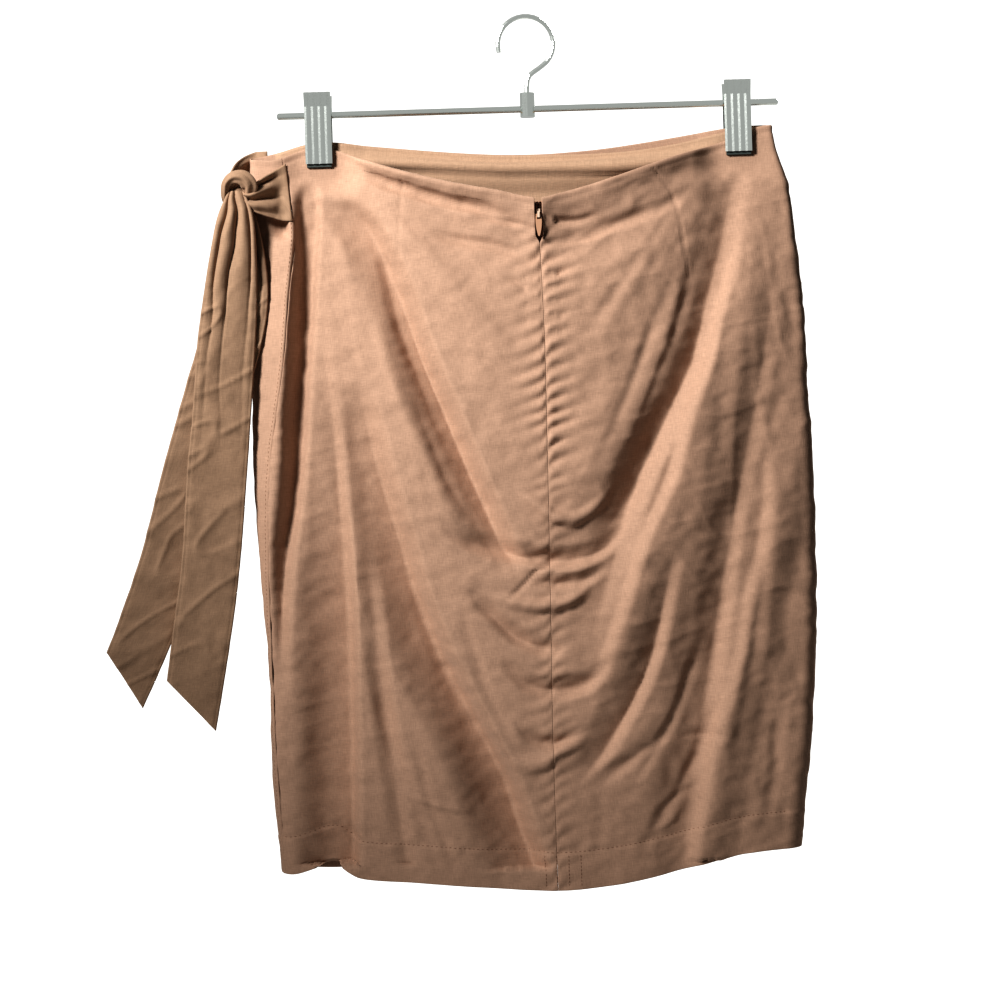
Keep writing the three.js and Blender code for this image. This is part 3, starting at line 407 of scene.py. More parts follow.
def body_at(level):
    """The tube's section at a level, with the length of a side fold's quarter and of one face."""
    row = {column: read(BODY, "level", column, level) for column in BODY if column != "level"}
    row["quarter"] = row["round"] * math.pi / 2
    row["span"] = row["right"] - row["left"] - 2 * row["round"] + 2 * row["quarter"]
    return row


def run_to(level, x):
    """Length along the cloth from the left side fold to a given x, on either face of the tube."""
    body = body_at(level)
    from_left, from_right = x - body["left"], body["right"] - x
    at_left = body["round"] * np.arccos(np.clip(1 - from_left / body["round"], -1, 1))
    at_right = body["span"] - body["round"] * np.arccos(np.clip(1 - from_right / body["round"], -1, 1))
    between = body["quarter"] + from_left - body["round"]
    return np.where(from_left < body["round"], at_left,
                    np.where(from_right < body["round"], at_right, between))


def half_depth(body, is_back, x, level, cap):
    """Half depth of the tube at a place on one face."""
    middle = (body["left"] + body["right"]) / 2
    half = (body["right"] - body["left"]) / 2
    swell = (1 - np.minimum(np.abs(x - middle) / half, 1) ** 2.2) ** 1.3
    below = np.maximum(-CLIP_DOWN - 1 - level, 0)
    wide = PINCH_WIDE + PINCH_SPREAD * below
    pinch = grip = 0
    for clip_x in (-CLIP_X, CLIP_X):
        distance = np.abs(x - clip_x)
        pinch = pinch + bell(distance, wide) * np.exp(-below / PINCH_DOWN)
        beside = 1 - smooth(distance, CLIP_WIDTH / 2 + 1.5, PINCH_WIDE)
        grip = grip + beside * (1 - smooth(below, 5, 22))
    depth = np.where(is_back, body["back"], body["front"]) - body["round"]
    to_side = np.minimum(x - body["left"], body["right"] - x)
    folds = np.where(is_back, folds_at(BACK_FOLDS_DOWN, BACK_FOLDS_ACROSS, x, level),
                     folds_at(FRONT_FOLDS_DOWN, FRONT_FOLDS_ACROSS, x, level))
    whole = cap + depth * swell * (1 - pinch)
    room = np.maximum(whole - CLIPPED_HALF, 0.01)
    push = folds * smooth(to_side, 0, 16)
    free = whole - push / (1 + (np.maximum(push, 0) / room) ** 4) ** 0.25
    return lerp(free, CLIPPED_HALF, grip)


def tube_point(level, arc):
    """A point of the tube. The arc runs from 0 at the left side fold along the back to the right side
    fold, and on along the front. A negative arc runs along the front from the left side fold."""
    body = body_at(level)
    span, round_, quarter = body["span"], body["round"], body["quarter"]
    is_back = (arc >= 0) & (arc <= span)
    run = np.where(arc > span, 2 * span - arc, np.abs(arc))
    at_left = run < quarter
    at_right = run > span - quarter
    turned = (span - run) / round_
    x = body["left"] + round_ + run - quarter
    x = np.where(at_left, body["left"] + round_ * (1 - np.cos(run / round_)), x)
    x = np.where(at_right, body["right"] - round_ * (1 - np.cos(turned)), x)
    cap = np.where(at_left, round_ * np.sin(run / round_), round_)
    cap = np.where(at_right, round_ * np.sin(turned), cap)
    depth = half_depth(body, is_back, x, level, cap)
    return stack(x, np.where(is_back, -depth, depth) + CLOTH_SHIFT_Y, level - HOOK_ABOVE_WAIST)


def stack(*columns):
    """Arrays whose shapes fit each other, side by side in the last axis."""
    return np.stack(np.broadcast_arrays(*columns), -1)


def unit(vectors):
    return vectors / np.maximum(np.linalg.norm(vectors, axis=-1, keepdims=True), 1e-9)


def shell_point(level, arc, out):
    """The same point moved out of the tube along its normal."""
    reach = 1.5
    along = tube_point(level, arc + reach) - tube_point(level, arc - reach)
    up = tube_point(level + reach, arc) - tube_point(level - reach, arc)
    return tube_point(level, arc) + unit(np.cross(along, up)) * np.asarray(out)[..., None]


def noise(u, v, seed):
    """Smooth noise from -1 to 1 on a lattice of whole numbers."""
    lattice = np.random.default_rng(seed).random((64, 64)) * 2 - 1
    iu, iv = np.floor(u).astype(int), np.floor(v).astype(int)
    su, sv = (t * t * (3 - 2 * t) for t in (u - iu, v - iv))
    corner = lambda du, dv: lattice[(iu + du) % 64, (iv + dv) % 64]
    return lerp(lerp(corner(0, 0), corner(1, 0), su), lerp(corner(0, 1), corner(1, 1), su), sv)


def crease_noise(u, v, seed, power=5):
    """Thin lines where the noise crosses zero, from 0 to 1."""
    return (1 - np.abs(noise(u, v, seed))) ** power


def drape_wrinkles(x, level, seed):
    """Soft wrinkles that fan out from the two clips, and a little crumple of the linen."""
    wrinkles = np.zeros_like(x)
    for clip_x, weight in ((-CLIP_X, 1 - smooth(x, -50, 60)), (CLIP_X, smooth(x, -50, 60))):
        dx, dz = x - clip_x, -15 - level
        angle = np.arctan2(dx, dz + 24)
        radius = np.hypot(dx, dz)
        fan = 1.3 * noise(angle * 9 + 20, radius / 130, seed)
        fan += 0.6 * noise(angle * 22 + 20, radius / 80, seed + 1)
        fan += 0.5 * crease_noise(angle * 10 + 20, radius / 70, seed + 2)
        wrinkles += weight * fan * smooth(radius, 24, 150)
    crumple = 0.6 * noise(x / 19, level / 11, seed + 3) + 0.42 * noise(x / 7.5, level / 6, seed + 4)
    crumple += 0.4 * crease_noise(x / 34 + level / 70, level / 17 - x / 80, seed + 5, 7)
    return wrinkles + crumple * smooth(-level, 6, 40)


def clear_of_clips(x, level, beside, below):
    """0 where a clip holds the cloth, 1 from a given distance beside and below the clips on."""
    held = sum(1 - smooth(np.abs(x - clip_x), CLIP_WIDTH / 2, beside) for clip_x in (-CLIP_X, CLIP_X))
    return 1 - held * (1 - smooth(-level, CLIP_DOWN, below))


def seam_relief(distance, along, seed, depth, pucker, spacing, reach):
    """Groove of a seam and the round puckers that the sewing leaves by turns on its two sides."""
    groove = -depth * bell(distance, 1.1)
    turn = math.pi * (along + 3 * noise(along / 17, 0.0, seed)) / spacing + (distance > 0) * 1.5
    wave = 1 - 2 * (1 - np.abs(np.sin(turn - distance * 0.1))) ** 0.9
    return groove + pucker * wave * np.exp(-np.abs(distance) / reach) * smooth(np.abs(distance), 0, 4)


def seam_x(column, level):
    return read(SEAMS, "level", column, level)


def side_seam(level):
    return run_to(level, seam_x("side", level))


def middle_seam(level):
    return run_to(level, seam_x("middle", level))


def right_seam(level):
    return body_at(level)["span"] + 5


def wrap_edge(level):
    return 2 * body_at(level)["span"] - run_to(level, seam_x("wrapEdge", level))


def zip_gap(level):
    return SEAM_GAP / 2 + ZIP_GAP_HALF * smooth(level, ZIP_GAP_END, ZIP_GAP_END + ZIP_GAP_TAPER)


def waist(column):
    return lambda x, is_back: np.where(is_back, read(WAIST, "x", "back", x), read(WAIST, "x", column, x))


def hem_line(x, is_back):
    return np.where(is_back, read(HEM, "x", "back", x), read(HEM, "x", "front", x))


def mesh_object(name, points, faces, uv):
    """A piece that rides on the skirt, from points and cloth coordinates in millimetres."""
    mesh = bpy.data.meshes.new(name)
    mesh.from_pydata((points.reshape(-1, 3) * MM).tolist(), [], faces.tolist())
    layer = mesh.uv_layers.new(name="cloth")
    corners = np.empty(len(mesh.loops), dtype=np.int32)
    mesh.loops.foreach_get("vertex_index", corners)
    layer.data.foreach_set("uv", (uv.reshape(-1, 2)[corners] * MM).ravel().astype(np.float32))
    mesh.shade_smooth()
    mesh.update()
    piece = bpy.data.objects.new(name, mesh)
    bpy.context.scene.collection.objects.link(piece)
    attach(piece, "skirt")
    return piece


def grid_faces(rows, columns, wrap=False):
    """Faces between the points of a grid, which may close on itself across."""
    index = np.arange(rows * columns).reshape(rows, columns)
    if wrap:
        index = np.concatenate([index, index[:, :1]], axis=1)
    return np.stack([index[:-1, :-1], index[1:, :-1], index[1:, 1:], index[:-1, 1:]], -1).reshape(-1, 4)


def add_thickness(piece, thickness):
    """Thickness towards the inside of the tube."""
    solid = piece.modifiers.new("thickness", "SOLIDIFY")
    solid.thickness = thickness * MM
    solid.offset = -1
    solid.use_even_offset = False


def even_steps(start, end, at_level, step, close=(0.0,)):
    """Shares from 0 to 1 between two edges, with a few closer steps beside both."""
    sample = np.array([at_level])
    length = float((end(sample) - start(sample))[0])
    ends = np.array(close)
    count = max(int((length - 6) / step), 2)
    middle = np.linspace(3.0, length - 3.0, count + 1)[1:-1]
    return np.concatenate([ends, middle, (length - ends)[::-1]]) / length


def settle(level, start, end, shares, level_at):
    """Arcs and levels of a grid between two edges, whose levels depend on where its points lie."""
    for _ in range(5):
        arc = lerp(start(level), end(level), shares[None, :])
        x = tube_point(level, arc)[..., 0]
        is_back = (arc > 0) & (arc < body_at(level)["span"])
        level = level_at(x, is_back)
    return level, arc, x, is_back


def panel(name, start, end, top, relief, layer=None, step=1.9):
    """A panel of the tube between two seams, with its upper edge and its hem turned in."""
    shares = even_steps(start, end, -260.0, step, (0, 0.5, 1.1, 1.9, 3.0))
    # A row across holds: drop below the upper edge, share of the way down, rise above the hem, and
    # distance out of the tube.
    rows = [(drop, 0, 0, -CLOTH - TURN_GAP) for drop in np.linspace(TURN_DEPTH, 1.5, 5)]
    rows += [(0.35, 0, 0, -CLOTH - 0.05), (0, 0, 0, -0.3), (0.35, 0, 0, -0.02)]
    rows += [(drop, 0, 0, 0) for drop in (0.9, 1.6, 2.4, 3.2, 4.0, 4.8, 5.8, 7.0, 8.4)]
    rows += [(10, share, HEM_DEPTH + 3, 0) for share in np.linspace(0, 1, int(SIDE_LENGTH / step))]
    rows += [(0, 1, up, 0) for up in np.arange(HEM_DEPTH + 1.4, 0.6, -1.5)]
    rows += [(0, 1, 0.25, -0.05), (0, 1, 0, -0.35), (0, 1, 0.3, -CLOTH - 0.1)]
    rows += [(0, 1, up, -CLOTH - 0.2) for up in np.linspace(1.5, HEM_DEPTH, 12)]
    drop, share_down, up, out = [np.array(column, float)[:, None] for column in zip(*rows)]
    level, arc, x, is_back = settle(
        -drop - share_down * ROUGH_LENGTH, start, end, shares,
        lambda x, is_back: lerp(top(x, is_back) - drop, hem_line(x, is_back) + up, share_down))
    if layer:
        out = out + layer(level, arc)
    extra = out + relief(level, arc, x, is_back, top(x, is_back) - level)
    points = shell_point(level, arc, extra)
    piece = mesh_object(name, points, grid_faces(*points.shape[:2]), stack(arc, level))
    add_thickness(piece, CLOTH)
    return piece


def edge_roll(drop):
    """The rolled upper edge: a small bead, and the dip of the sewing below it."""
    return 0.28 * bell(drop - 1.6, 1.3) - 0.3 * bell(drop - 5.4, 1.6)


def waist_lip(drop, x):
    """The waist edge of the back stands out and the cloth falls in below it, most at the left."""
    much = 0.35 + 0.65 * smooth(x, -132, -105) * (1 - smooth(x, -45, -5)) - 0.35 * smooth(x, 110, 140)
    much = much * smooth(x, -145, -120)
    return much * (2.4 * bell(drop - 3, 4.5) - 2.6 * bell(drop - 13, 6.0))


def hem_relief(above_hem, x, seed):
    """The sewn line above the hem with its short puckers."""
    line = -0.6 * bell(above_hem - HEM_DEPTH, 1.1)
    doubled = 0.5 * (1 - smooth(above_hem, HEM_DEPTH - 0.5, HEM_DEPTH + 1.5))
    near = np.exp(-np.abs(above_hem - HEM_DEPTH) / 8.0)
    return line + doubled + 0.75 * near * noise(x / 7.0, above_hem / 11.0, seed)


def back_relief(level, arc, x, is_back, drop):
    """Creases, darts, seams, hem and edges of the two back panels."""
    creases = CREASE_DEPTH * folds_at(BACK_CREASES_DOWN, BACK_CREASES_ACROSS, x, level)
    relief = drape_wrinkles(x, level, 11) - (creases + folds_at(DARTS, [], x, level))
    to_middle = arc - middle_seam(level)
    puckered = smooth(-level, WAIST_DROP, WAIST_DROP + 22) * (1 - 0.7 * smooth(-level, 210, 280))
    uneven = 0.9 + 0.4 * noise(level / 26, np.sign(to_middle) * 3 + 5, 33)
    relief += seam_relief(to_middle, level, 31, **MIDDLE_SEWING) * puckered * uneven
    relief += seam_relief(arc - side_seam(level), level, 37, **SIDE_SEWING)
    for _, _, _, points in DARTS:
        line = table("x level depth", points)
        fade = smooth(-level, 28, 36) * (1 - smooth(-level, 120, 134))
        away = np.abs(x - read(line, "level", "x", level))
        relief += 0.3 * noise(level / 5.5, line["x"][0], 5) * np.exp(-away / 5) * fade
    relief *= smooth(right_seam(level) - arc, 0, 7)
    relief += hem_relief(level - hem_line(x, is_back), x, 41)
    # The cloth over the zip's tape stays outside it.
    tape_end = -WAIST_DROP - ZIP_LENGTH
    over_tape = 1 - smooth(np.abs(to_middle), ZIP_TAPE_HALF + 1, ZIP_TAPE_HALF + 5)
    over_tape = smooth(level, tape_end, tape_end + 12) * over_tape
    relief = np.clip(relief, lerp(-20, -0.3, over_tape), WRINKLE_LIMIT)
    free = clear_of_clips(x, level, 32, 34)
    beside_zip = ZIP_RISE * bell(to_middle, 13) * smooth(level, ZIP_GAP_END - 12, ZIP_GAP_END + 6)
    return (relief + waist_lip(drop, x)) * free + edge_roll(drop) + beside_zip


def sash_hollow(x, level, is_back):
    """The dark hollow below the sash, beside the side seam."""
    across = np.exp(-(((x + 187.5 + 0.25 * (level + 64)) / 5.5) ** 4))
    return np.where(is_back, -7.5 * across * smooth(level, -76, -68) * (1 - smooth(level, -58, -54)), 0)


def front_relief(seed, amount):
    """Wrinkles, hem and edges of a front panel."""
    def relief(level, arc, x, is_back, drop):
        wrinkles = drape_wrinkles(x, level, seed) * amount + sash_hollow(x, level, is_back)
        from_seam = np.abs(arc - side_seam(level))
        wrinkles += 0.9 * bell(from_seam - 1.6, 1.4) * smooth(-level, 60, 66)
        wrinkles *= smooth(np.abs(arc - right_seam(level)), 0, 7)
        wrinkles += hem_relief(level - hem_line(x, is_back), x, seed + 8)
        free = clear_of_clips(x, level, 24, 40)
        return wrinkles * free * smooth(-level, 14, 50) + edge_roll(drop) * 0.6
    return relief


under_relief = front_relief(51, 0.5)
wrap_relief = front_relief(71, 0.9)


def wrap_layer(level, arc):
    """How far the wrap front lies outside the layers that it covers."""
    aside = np.abs(np.abs(tube_point(level, arc)[..., 0]) - CLIP_X)
    beside_clip = smooth(aside, CLIP_WIDTH / 2 + 2, 34) * smooth(-level, 2, 30)
    loose = WRAP_LOOSE * np.maximum(beside_clip, smooth(-level, CLIP_DOWN + 0.5, 44))
    return (WALL + LAYER_GAP + loose) * smooth(arc - right_seam(level), 0.5, 8)


back_left = panel(
    "back_left_cloth", side_seam, lambda level: middle_seam(level) - zip_gap(level),
    waist("wrap"), back_relief)
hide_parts("back_left")

back_right = panel(
    "back_right_cloth", lambda level: middle_seam(level) + zip_gap(level), right_seam,
    waist("wrap"), back_relief)
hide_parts("back_right")

front_under = panel(
    "front_under_cloth", lambda level: -run_to(level, seam_x("underEdge", level)),
    lambda level: side_seam(level) - SEAM_GAP, waist("under"), under_relief, step=2.8)
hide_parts("front_under")

front_wrap = panel(
    "front_wrap_cloth", lambda level: right_seam(level) + SEAM_GAP, wrap_edge,
    waist("wrap"), wrap_relief, layer=wrap_layer, step=2.4)
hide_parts("front_wrap")


def inner_strip(name, node, start, end, top, length, step, sag=0.0):
    """A strip that lies inside the tube: the facing of the front, and the zip's tape."""
    shares = even_steps(start, end, -60.0, step)
    drop = np.arange(0, length + 0.1, 2.0)[:, None]
    level, arc, x, _ = settle(-drop, start, end, shares, lambda x, is_back: top(x, is_back) - drop)
    roll = sag * (smooth(drop, 3, 11) - 0.9 * smooth(drop, 12.5, 16)) * smooth(150 - np.abs(x), 0, 40)
    points = shell_point(level, arc, -WALL - LAYER_GAP - roll)
    piece = mesh_object(name, points, grid_faces(*points.shape[:2]), stack(arc, level))
    add_thickness(piece, STRIP_CLOTH)
    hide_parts(node)
    return piece


front_facing = inner_strip(
    "front_facing_cloth", "front_facing", lambda level: -run_to(level, FACING_RIGHT),
    lambda level: -run_to(level, FACING_LEFT), waist("under"), FACING_DEPTH, 2.5, FACING_SAG)
zip_tape = inner_strip(
    "zip_tape_cloth", "zip_tape", lambda level: middle_seam(level) - ZIP_TAPE_HALF,
    lambda level: middle_seam(level) + ZIP_TAPE_HALF, lambda x, is_back: ZIP_TAPE_TOP,
    ZIP_LENGTH, 1.2)


def bumps(rows, share):
    """Heights of round pleats, each given by its place, half width and rise."""
    rise = np.zeros_like(share)
    for at, half, height in rows:
        t = np.minimum(np.abs(share - at) / half, 1)
        rise += height * (1 - t * t) ** 2
    return rise


def pillow(name, node, points, uv):
    """A doubled strip of the sash about a grid of middle points, closed and thin at its edges."""
    rows, columns = points.shape[:2]
    across = np.abs(np.linspace(-1, 1, columns))
    down = np.abs(np.linspace(-1, 1, rows))
    half = SASH_CLOTH / 2 * np.sqrt(1 - across ** 10)[None, :] * np.sqrt(1 - down ** 80)[:, None]
    out = unit(np.cross(np.gradient(points, axis=1), -np.gradient(points, axis=0))) * half[..., None]
    ring = np.concatenate([points + out, (points - out)[:, -2:0:-1]], axis=1)
    ring_uv = np.concatenate([uv, uv[:, -2:0:-1]], axis=1)
    piece = mesh_object(name, ring, grid_faces(*ring.shape[:2], wrap=True), ring_uv)
    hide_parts(node)
    return piece


def tail(name, node, source, seed):
    """A tail of the sash, gathered at the knot and crumpled below it, with a sewn edge."""
    step, now = spread(source, 300)
    share = np.linspace(0, 1, 46)[None, :]
    level = lerp(now["left"], now["right"], share)
    x = lerp(now["leftX"], now["rightX"], share)
    wander = share + 0.1 * noise(step * 1.1, share * 2 + 4, seed) * np.sin(share * math.pi)
    gathers = now["gather"] * (bumps(TAIL_GATHERS, wander) * 1.5 - 1.2)
    forward = now["depth"] + now["lean"] * (0.5 - share) + gathers
    edge = np.minimum(share, 1 - share) * (SASH_WIDTH - 1)
    side = np.where(share < 0.5, 0.0, 3.7)
    puckers = np.sin(level / 2.4 + side + 5 * noise(level / 23, side, seed + 1)) * np.exp(-edge / 5)
    cross = noise(level / 11 + share * 1.6, share * 1.5, seed + 2)
    cross += 1.1 * crease_noise(level / 17 - share * 1.5, share * 1.3, seed + 3)
    lower = smooth(-level, 80, 130)
    forward = forward + (0.35 * puckers + 1.2 * cross) * lower + 0.3 * noise(level / 6, share * 7, seed + 4)
    stitched = -0.45 * bell(edge - 2.2, 0.8) * lower
    points = stack(x, -forward - stitched, level - HOOK_ABOVE_WAIST)
    return pillow(name, node, points, stack(share * SASH_WIDTH, level))


def sash_root(name, node, arc_at, top_level, low_level, aim, leaves, lift, puffs, seed):
    """The sash where it leaves a free edge: pleats that run together into the knot."""
    down = np.linspace(0, 1, 60)[:, None]
    along = np.linspace(0, 1, 50)[None, :]
    level = lerp(top_level, low_level, down)
    rise = smooth(along, 0.02, 0.8)
    puff = bumps(ROOT_PLEATS, down + 0.05 * np.sin(along * 4)) * rise * puffs
    on_cloth = shell_point(level, arc_at(level, np.minimum(along / leaves, 1)), lift + puff + 3 * rise)
    aim_x, aim_y, aim_level, aim_high = aim
    in_knot = stack(aim_x, aim_y, aim_level - HOOK_ABOVE_WAIST + (0.5 - down) * aim_high)
    points = lerp(on_cloth, in_knot, smooth(along, leaves / 2, 1)[..., None])
    points[..., 1] -= 0.3 * noise(along * 9, down * 9, seed)
    return pillow(name, node, points, stack(along * 40, level))


def seam_root(name, node, source, lift, seed):
    """The sash where it leaves the side seam: a flap of two deep pleats that run into the knot."""
    step, now = spread(source, 70, across=True)
    down = np.linspace(0, 1, 70)[:, None]
    x = lerp(now["topX"], now["lowX"], down)
    level = lerp(now["top"], now["low"], down)
    body = body_at(level)
    in_side = np.clip(1 - (x - body["left"]) / body["round"], 0, 1)
    shell = half_depth(body, True, x, level, body["round"] * np.sqrt(1 - in_side ** 2))
    along = step / step.max()
    pleats = bumps(ROOT_PLEATS, down + 0.04 * np.sin(along * 5) + 0.08 * along) * smooth(along, 0.04, 0.5)
    forward = lerp(shell, np.maximum(shell, 9), smooth(along, 0.1, 0.5)) + lift + now["off"] + pleats
    forward = forward + 0.35 * noise(along * 7, down * 8, seed)
    points = stack(x, CLOTH_SHIFT_Y - forward, level - HOOK_ABOVE_WAIST)
    return pillow(name, node, points[:, ::-1], stack(along * 40, level))


def roll(name, source, seed, pleats=5, rise=0.108):
    """A roll of gathered cloth along a line, with pleats that run its length."""
    rows, columns = 60, 56
    now = spread(source, rows)[1]
    middle = np.concatenate([now["x"], now["y"], now["level"] - HOOK_ABOVE_WAIST], 1)
    forward = unit(np.gradient(middle, axis=0))
    depth_axis = np.array([[0.0, -1.0, 0.0]])
    wide_axis = unit(np.cross(forward, depth_axis))
    depth_axis = unit(np.cross(wide_axis, forward))
    angle = np.linspace(0, 2 * math.pi, columns, endpoint=False)[None, :]
    share = np.linspace(0, 1, rows)[:, None]
    end = np.sqrt(np.clip(1 - np.abs(2 * share - 1) ** 8, 0, 1))
    swell = 1 + rise * np.cos(angle * pleats + 1.5 * np.sin(share * 4 + seed)) * end
    swell += 0.05 * noise(angle * 2.5, share * 9, seed)
    wide = now["wide"] * end * swell
    deep = now["deep"] * end * swell
    points = (middle[:, None, :]
              + wide_axis[:, None, :] * (wide * np.cos(angle))[..., None]
              + depth_axis[:, None, :] * (deep * np.sin(angle))[..., None])
    uv = stack(angle * 6, share * 60)
    return mesh_object(name, points, grid_faces(rows, columns, wrap=True), uv)


on_panel = LAYER_GAP + SASH_CLOTH / 2
root_back = seam_root("sash_root_back_cloth", "sash_root_back", BACK_ROOT, on_panel, 81)
root_front = sash_root(
    "sash_root_front_cloth", "sash_root_front",
    lambda level, along: lerp(wrap_edge(level) - 2 * body_at(level)["span"] + SEAM_GAP, 1, along),
    top_level=-5, low_level=-44, aim=(-224, -17, -33, 16), leaves=0.75, lift=on_panel, puffs=0.4, seed=83)
near_tail = tail("tail_near_cloth", "tail_near", NEAR_TAIL, 91)
far_tail = tail("tail_far_cloth", "tail_far", FAR_TAIL, 97)
knot_band = roll("knot_band", KNOT_BAND, 3)
knot_core = roll("knot_core", KNOT_CORE, 7)
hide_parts("knot")


def surface_at(x, level):
    """Points on the outside of the back, and the cloth's directions there, for given x and level."""
    arc = run_to(level, x)
    drop = read(WAIST, "x", "back", x) - level
    lift = np.where(arc > side_seam(level), back_relief(level, arc, x, True, drop),
                    under_relief(level, arc, x, True, drop))
    points = shell_point(level, arc, lift)
    ahead = shell_point(level, arc + 1, lift)
    above = shell_point(level + 1, arc, lift)
    return points, unit(ahead - points), unit(above - points)


def stitches(name, x, level, upright):
    """A row of thread stitches that lie on the back along its rows or down it."""
    points, across, up = surface_at(x, level)
    run, side = (up, across) if upright else (across, up)
    normal = unit(np.cross(across, up))
    ring = np.linspace(0, 2 * math.pi, 6, endpoint=False)
    shape = [(-0.5, 0.25), (-0.3, 0.85), (0.0, 1.0), (0.3, 0.85), (0.5, 0.25)]
    rows = []
    for along, width in shape:
        middle = points + run * along * STITCH_LENGTH + normal * (0.5 * STITCH_THICK * (width - 0.55))
        rows.append([middle + (side * math.cos(t) + normal * math.sin(t)) * STITCH_THICK / 2 * width
                     for t in ring])
    grid = np.array(rows).transpose(2, 0, 1, 3)
    faces = [grid_faces(len(shape), len(ring), wrap=True) + at * len(shape) * len(ring)
             for at in range(len(grid))]
    uv = np.zeros(grid.shape[:3] + (2,))
    return mesh_object(name, grid, np.concatenate(faces), uv)


hem_x = np.arange(-196, 178, 3.4)
hem_stitches = stitches("hem_stitches", hem_x, read(HEM, "x", "back", hem_x) + HEM_DEPTH, False)
seam_levels = np.arange(-62, -535, -3.2)
side_stitches = stitches("side_seam_stitches", seam_x("side", seam_levels) - 2.4, seam_levels, True)
box_x, box_levels = np.meshgrid([-4.0, 4.0, 13.0, 22.0], np.arange(-536, -558, -2.6), indexing="ij")
box_stitches = stitches("hem_box_stitches", box_x.ravel(), box_levels.ravel(), True)


def zip_teeth(name, levels, reach):
    """Two rows of coil teeth in the open top of the zip."""
    boxes, faces = [], []
    corners = np.array([(i, j, k) for i in (-0.5, 0.5) for j in (-0.5, 0.5) for k in (-0.5, 0.5)])
    sides = np.array([(0, 1, 3, 2), (4, 6, 7, 5), (0, 4, 5, 1), (2, 3, 7, 6), (0, 2, 6, 4), (1, 5, 7, 3)])
    for at in tube_point(levels, middle_seam(levels)):
        for side in (-1, 1):
            faces.append(sides + 8 * len(boxes))
            boxes.append(corners * (1.3, 0.9, 0.7) + at + (side * reach, 1.2, 0))
    points = np.array(boxes)
    return mesh_object(name, points, np.concatenate(faces), np.zeros(points.shape[:2] + (2,)))


teeth = zip_teeth("zip_teeth", np.arange(ZIP_TAPE_TOP - 0.6, ZIP_GAP_END, -1.3), 1.1)


# Materials

def new_material(name):
    """A material, its node tree and its shader."""
    material = bpy.data.materials.new(name)
    material.use_nodes = True
    tree = material.node_tree
    shader = tree.nodes["Principled BSDF"]
    return material, tree, shader


def fill(tree, target, inputs):
    """Set a node's inputs to values, or link them. A node stands for its first output."""
    for key, value in inputs.items():
        if isinstance(value, bpy.types.Node):
            value = value.outputs[0]
        if isinstance(value, bpy.types.NodeSocket):
            tree.links.new(value, target.inputs[key])
        else:
            target.inputs[key].default_value = value


def node(tree, kind, inputs, **settings):
    made = tree.nodes.new("ShaderNode" + kind)
    for key, value in settings.items():
        setattr(made, key, value)
    fill(tree, made, inputs)
    return made


def remap(tree, value, low, high, to_low, to_high, **settings):
    """A node that moves a value from one range to another."""
    return node(tree, "MapRange", {
        "Value": value, "From Min": low, "From Max": high, "To Min": to_low, "To Max": to_high}, **settings)


def srgb(red, green, blue):
    """Linear colour from 0 to 255 values."""
    to_linear = lambda c: c / 12.92 if c <= 0.04045 else ((c + 0.055) / 1.055) ** 2.4
    return tuple(to_linear(c / 255) for c in (red, green, blue)) + (1.0,)


def linen(name, base):
    """Plain-woven linen: uneven warp and weft threads in the colour and the bump."""
    material, tree, shader = new_material(name)
    place = node(tree, "UVMap", {}, uv_map="cloth")
    threads = []
    for along in ((1, 0.09, 1), (0.09, 1, 1)):
        stretch = node(tree, "Mapping", {"Vector": place, "Scale": along})
        threads.append(node(tree, "TexNoise", {
            "Vector": stretch, "Scale": 1 / (THREAD_WIDTH * MM), "Detail": 2.0, "Roughness": 0.55}))
    weave = node(tree, "Math", {0: threads[0], 1: threads[1]}, operation="ADD")
    blotch = node(tree, "TexNoise", {"Vector": place, "Scale": 16.0, "Detail": 4.0, "Roughness": 0.6})
    tint = remap(tree, weave, 0.6, 1.4, 0.80, 1.18)
    shade = remap(tree, blotch, 0.25, 0.75, 0.93, 1.06)
    both = node(tree, "Math", {0: tint, 1: shade}, operation="MULTIPLY")
    fill(tree, shader, {
        "Base Color": node(tree, "HueSaturation", {"Color": base, "Value": both}),
        "Normal": node(tree, "Bump", {"Height": weave, "Strength": 0.35, "Distance": 0.0004}),
        "Roughness": 0.82, "Specular IOR Level": 0.3, "Sheen Weight": 0.25, "Sheen Roughness": 0.5,
        "Sheen Tint": srgb(255, 226, 204)})
    return material


def plain(name, base, roughness, metallic=0.0, bump=0.12, wear=0.08):
    """A hard material with a fine grain in its gloss and its surface."""
    material, tree, shader = new_material(name)
    place = node(tree, "TexCoord", {}).outputs["Object"]
    speckle = node(tree, "TexNoise", {"Vector": place, "Scale": 900.0, "Detail": 3.0})
    fill(tree, shader, {
        "Base Color": base, "Metallic": metallic,
        "Roughness": remap(tree, speckle, 0, 1, max(roughness - wear, 0.03), roughness + wear),
        "Normal": node(tree, "Bump", {"Height": speckle, "Strength": bump, "Distance": 0.0001})})
    return material


linen_cloth = linen("linen", srgb(172, 141, 121))
# The sash is the same linen as the skirt, with its colour darkened as painted shade, because the tails hang
# in shade.
painted_shade_sash_linen = linen("painted_shade_sash_linen", srgb(154, 127, 105))
linen_inside = linen("linen_facing", srgb(172, 143, 120))
tape_cloth = linen("zip_tape", srgb(150, 112, 90))
enamel = plain("zip_enamel", srgb(176, 138, 112), 0.3)
thread = plain("sewing_thread", srgb(120, 88, 68), 0.75, bump=0.3)
bright_enamel = plain("zip_bridge_enamel", srgb(206, 184, 164), 0.2)
chrome = plain("chrome", srgb(222, 228, 224), 0.14, metallic=1.0, bump=0.05, wear=0.05)
rubber = plain("rubber", srgb(52, 60, 58), 0.7, bump=0.3)


def finish(material, *pieces):
    """Give pieces, or nodes by their names, one material."""
    for piece in pieces:
        materials = NODES[piece].data.materials if isinstance(piece, str) else piece.data.materials
        materials.clear()
        materials.append(material)


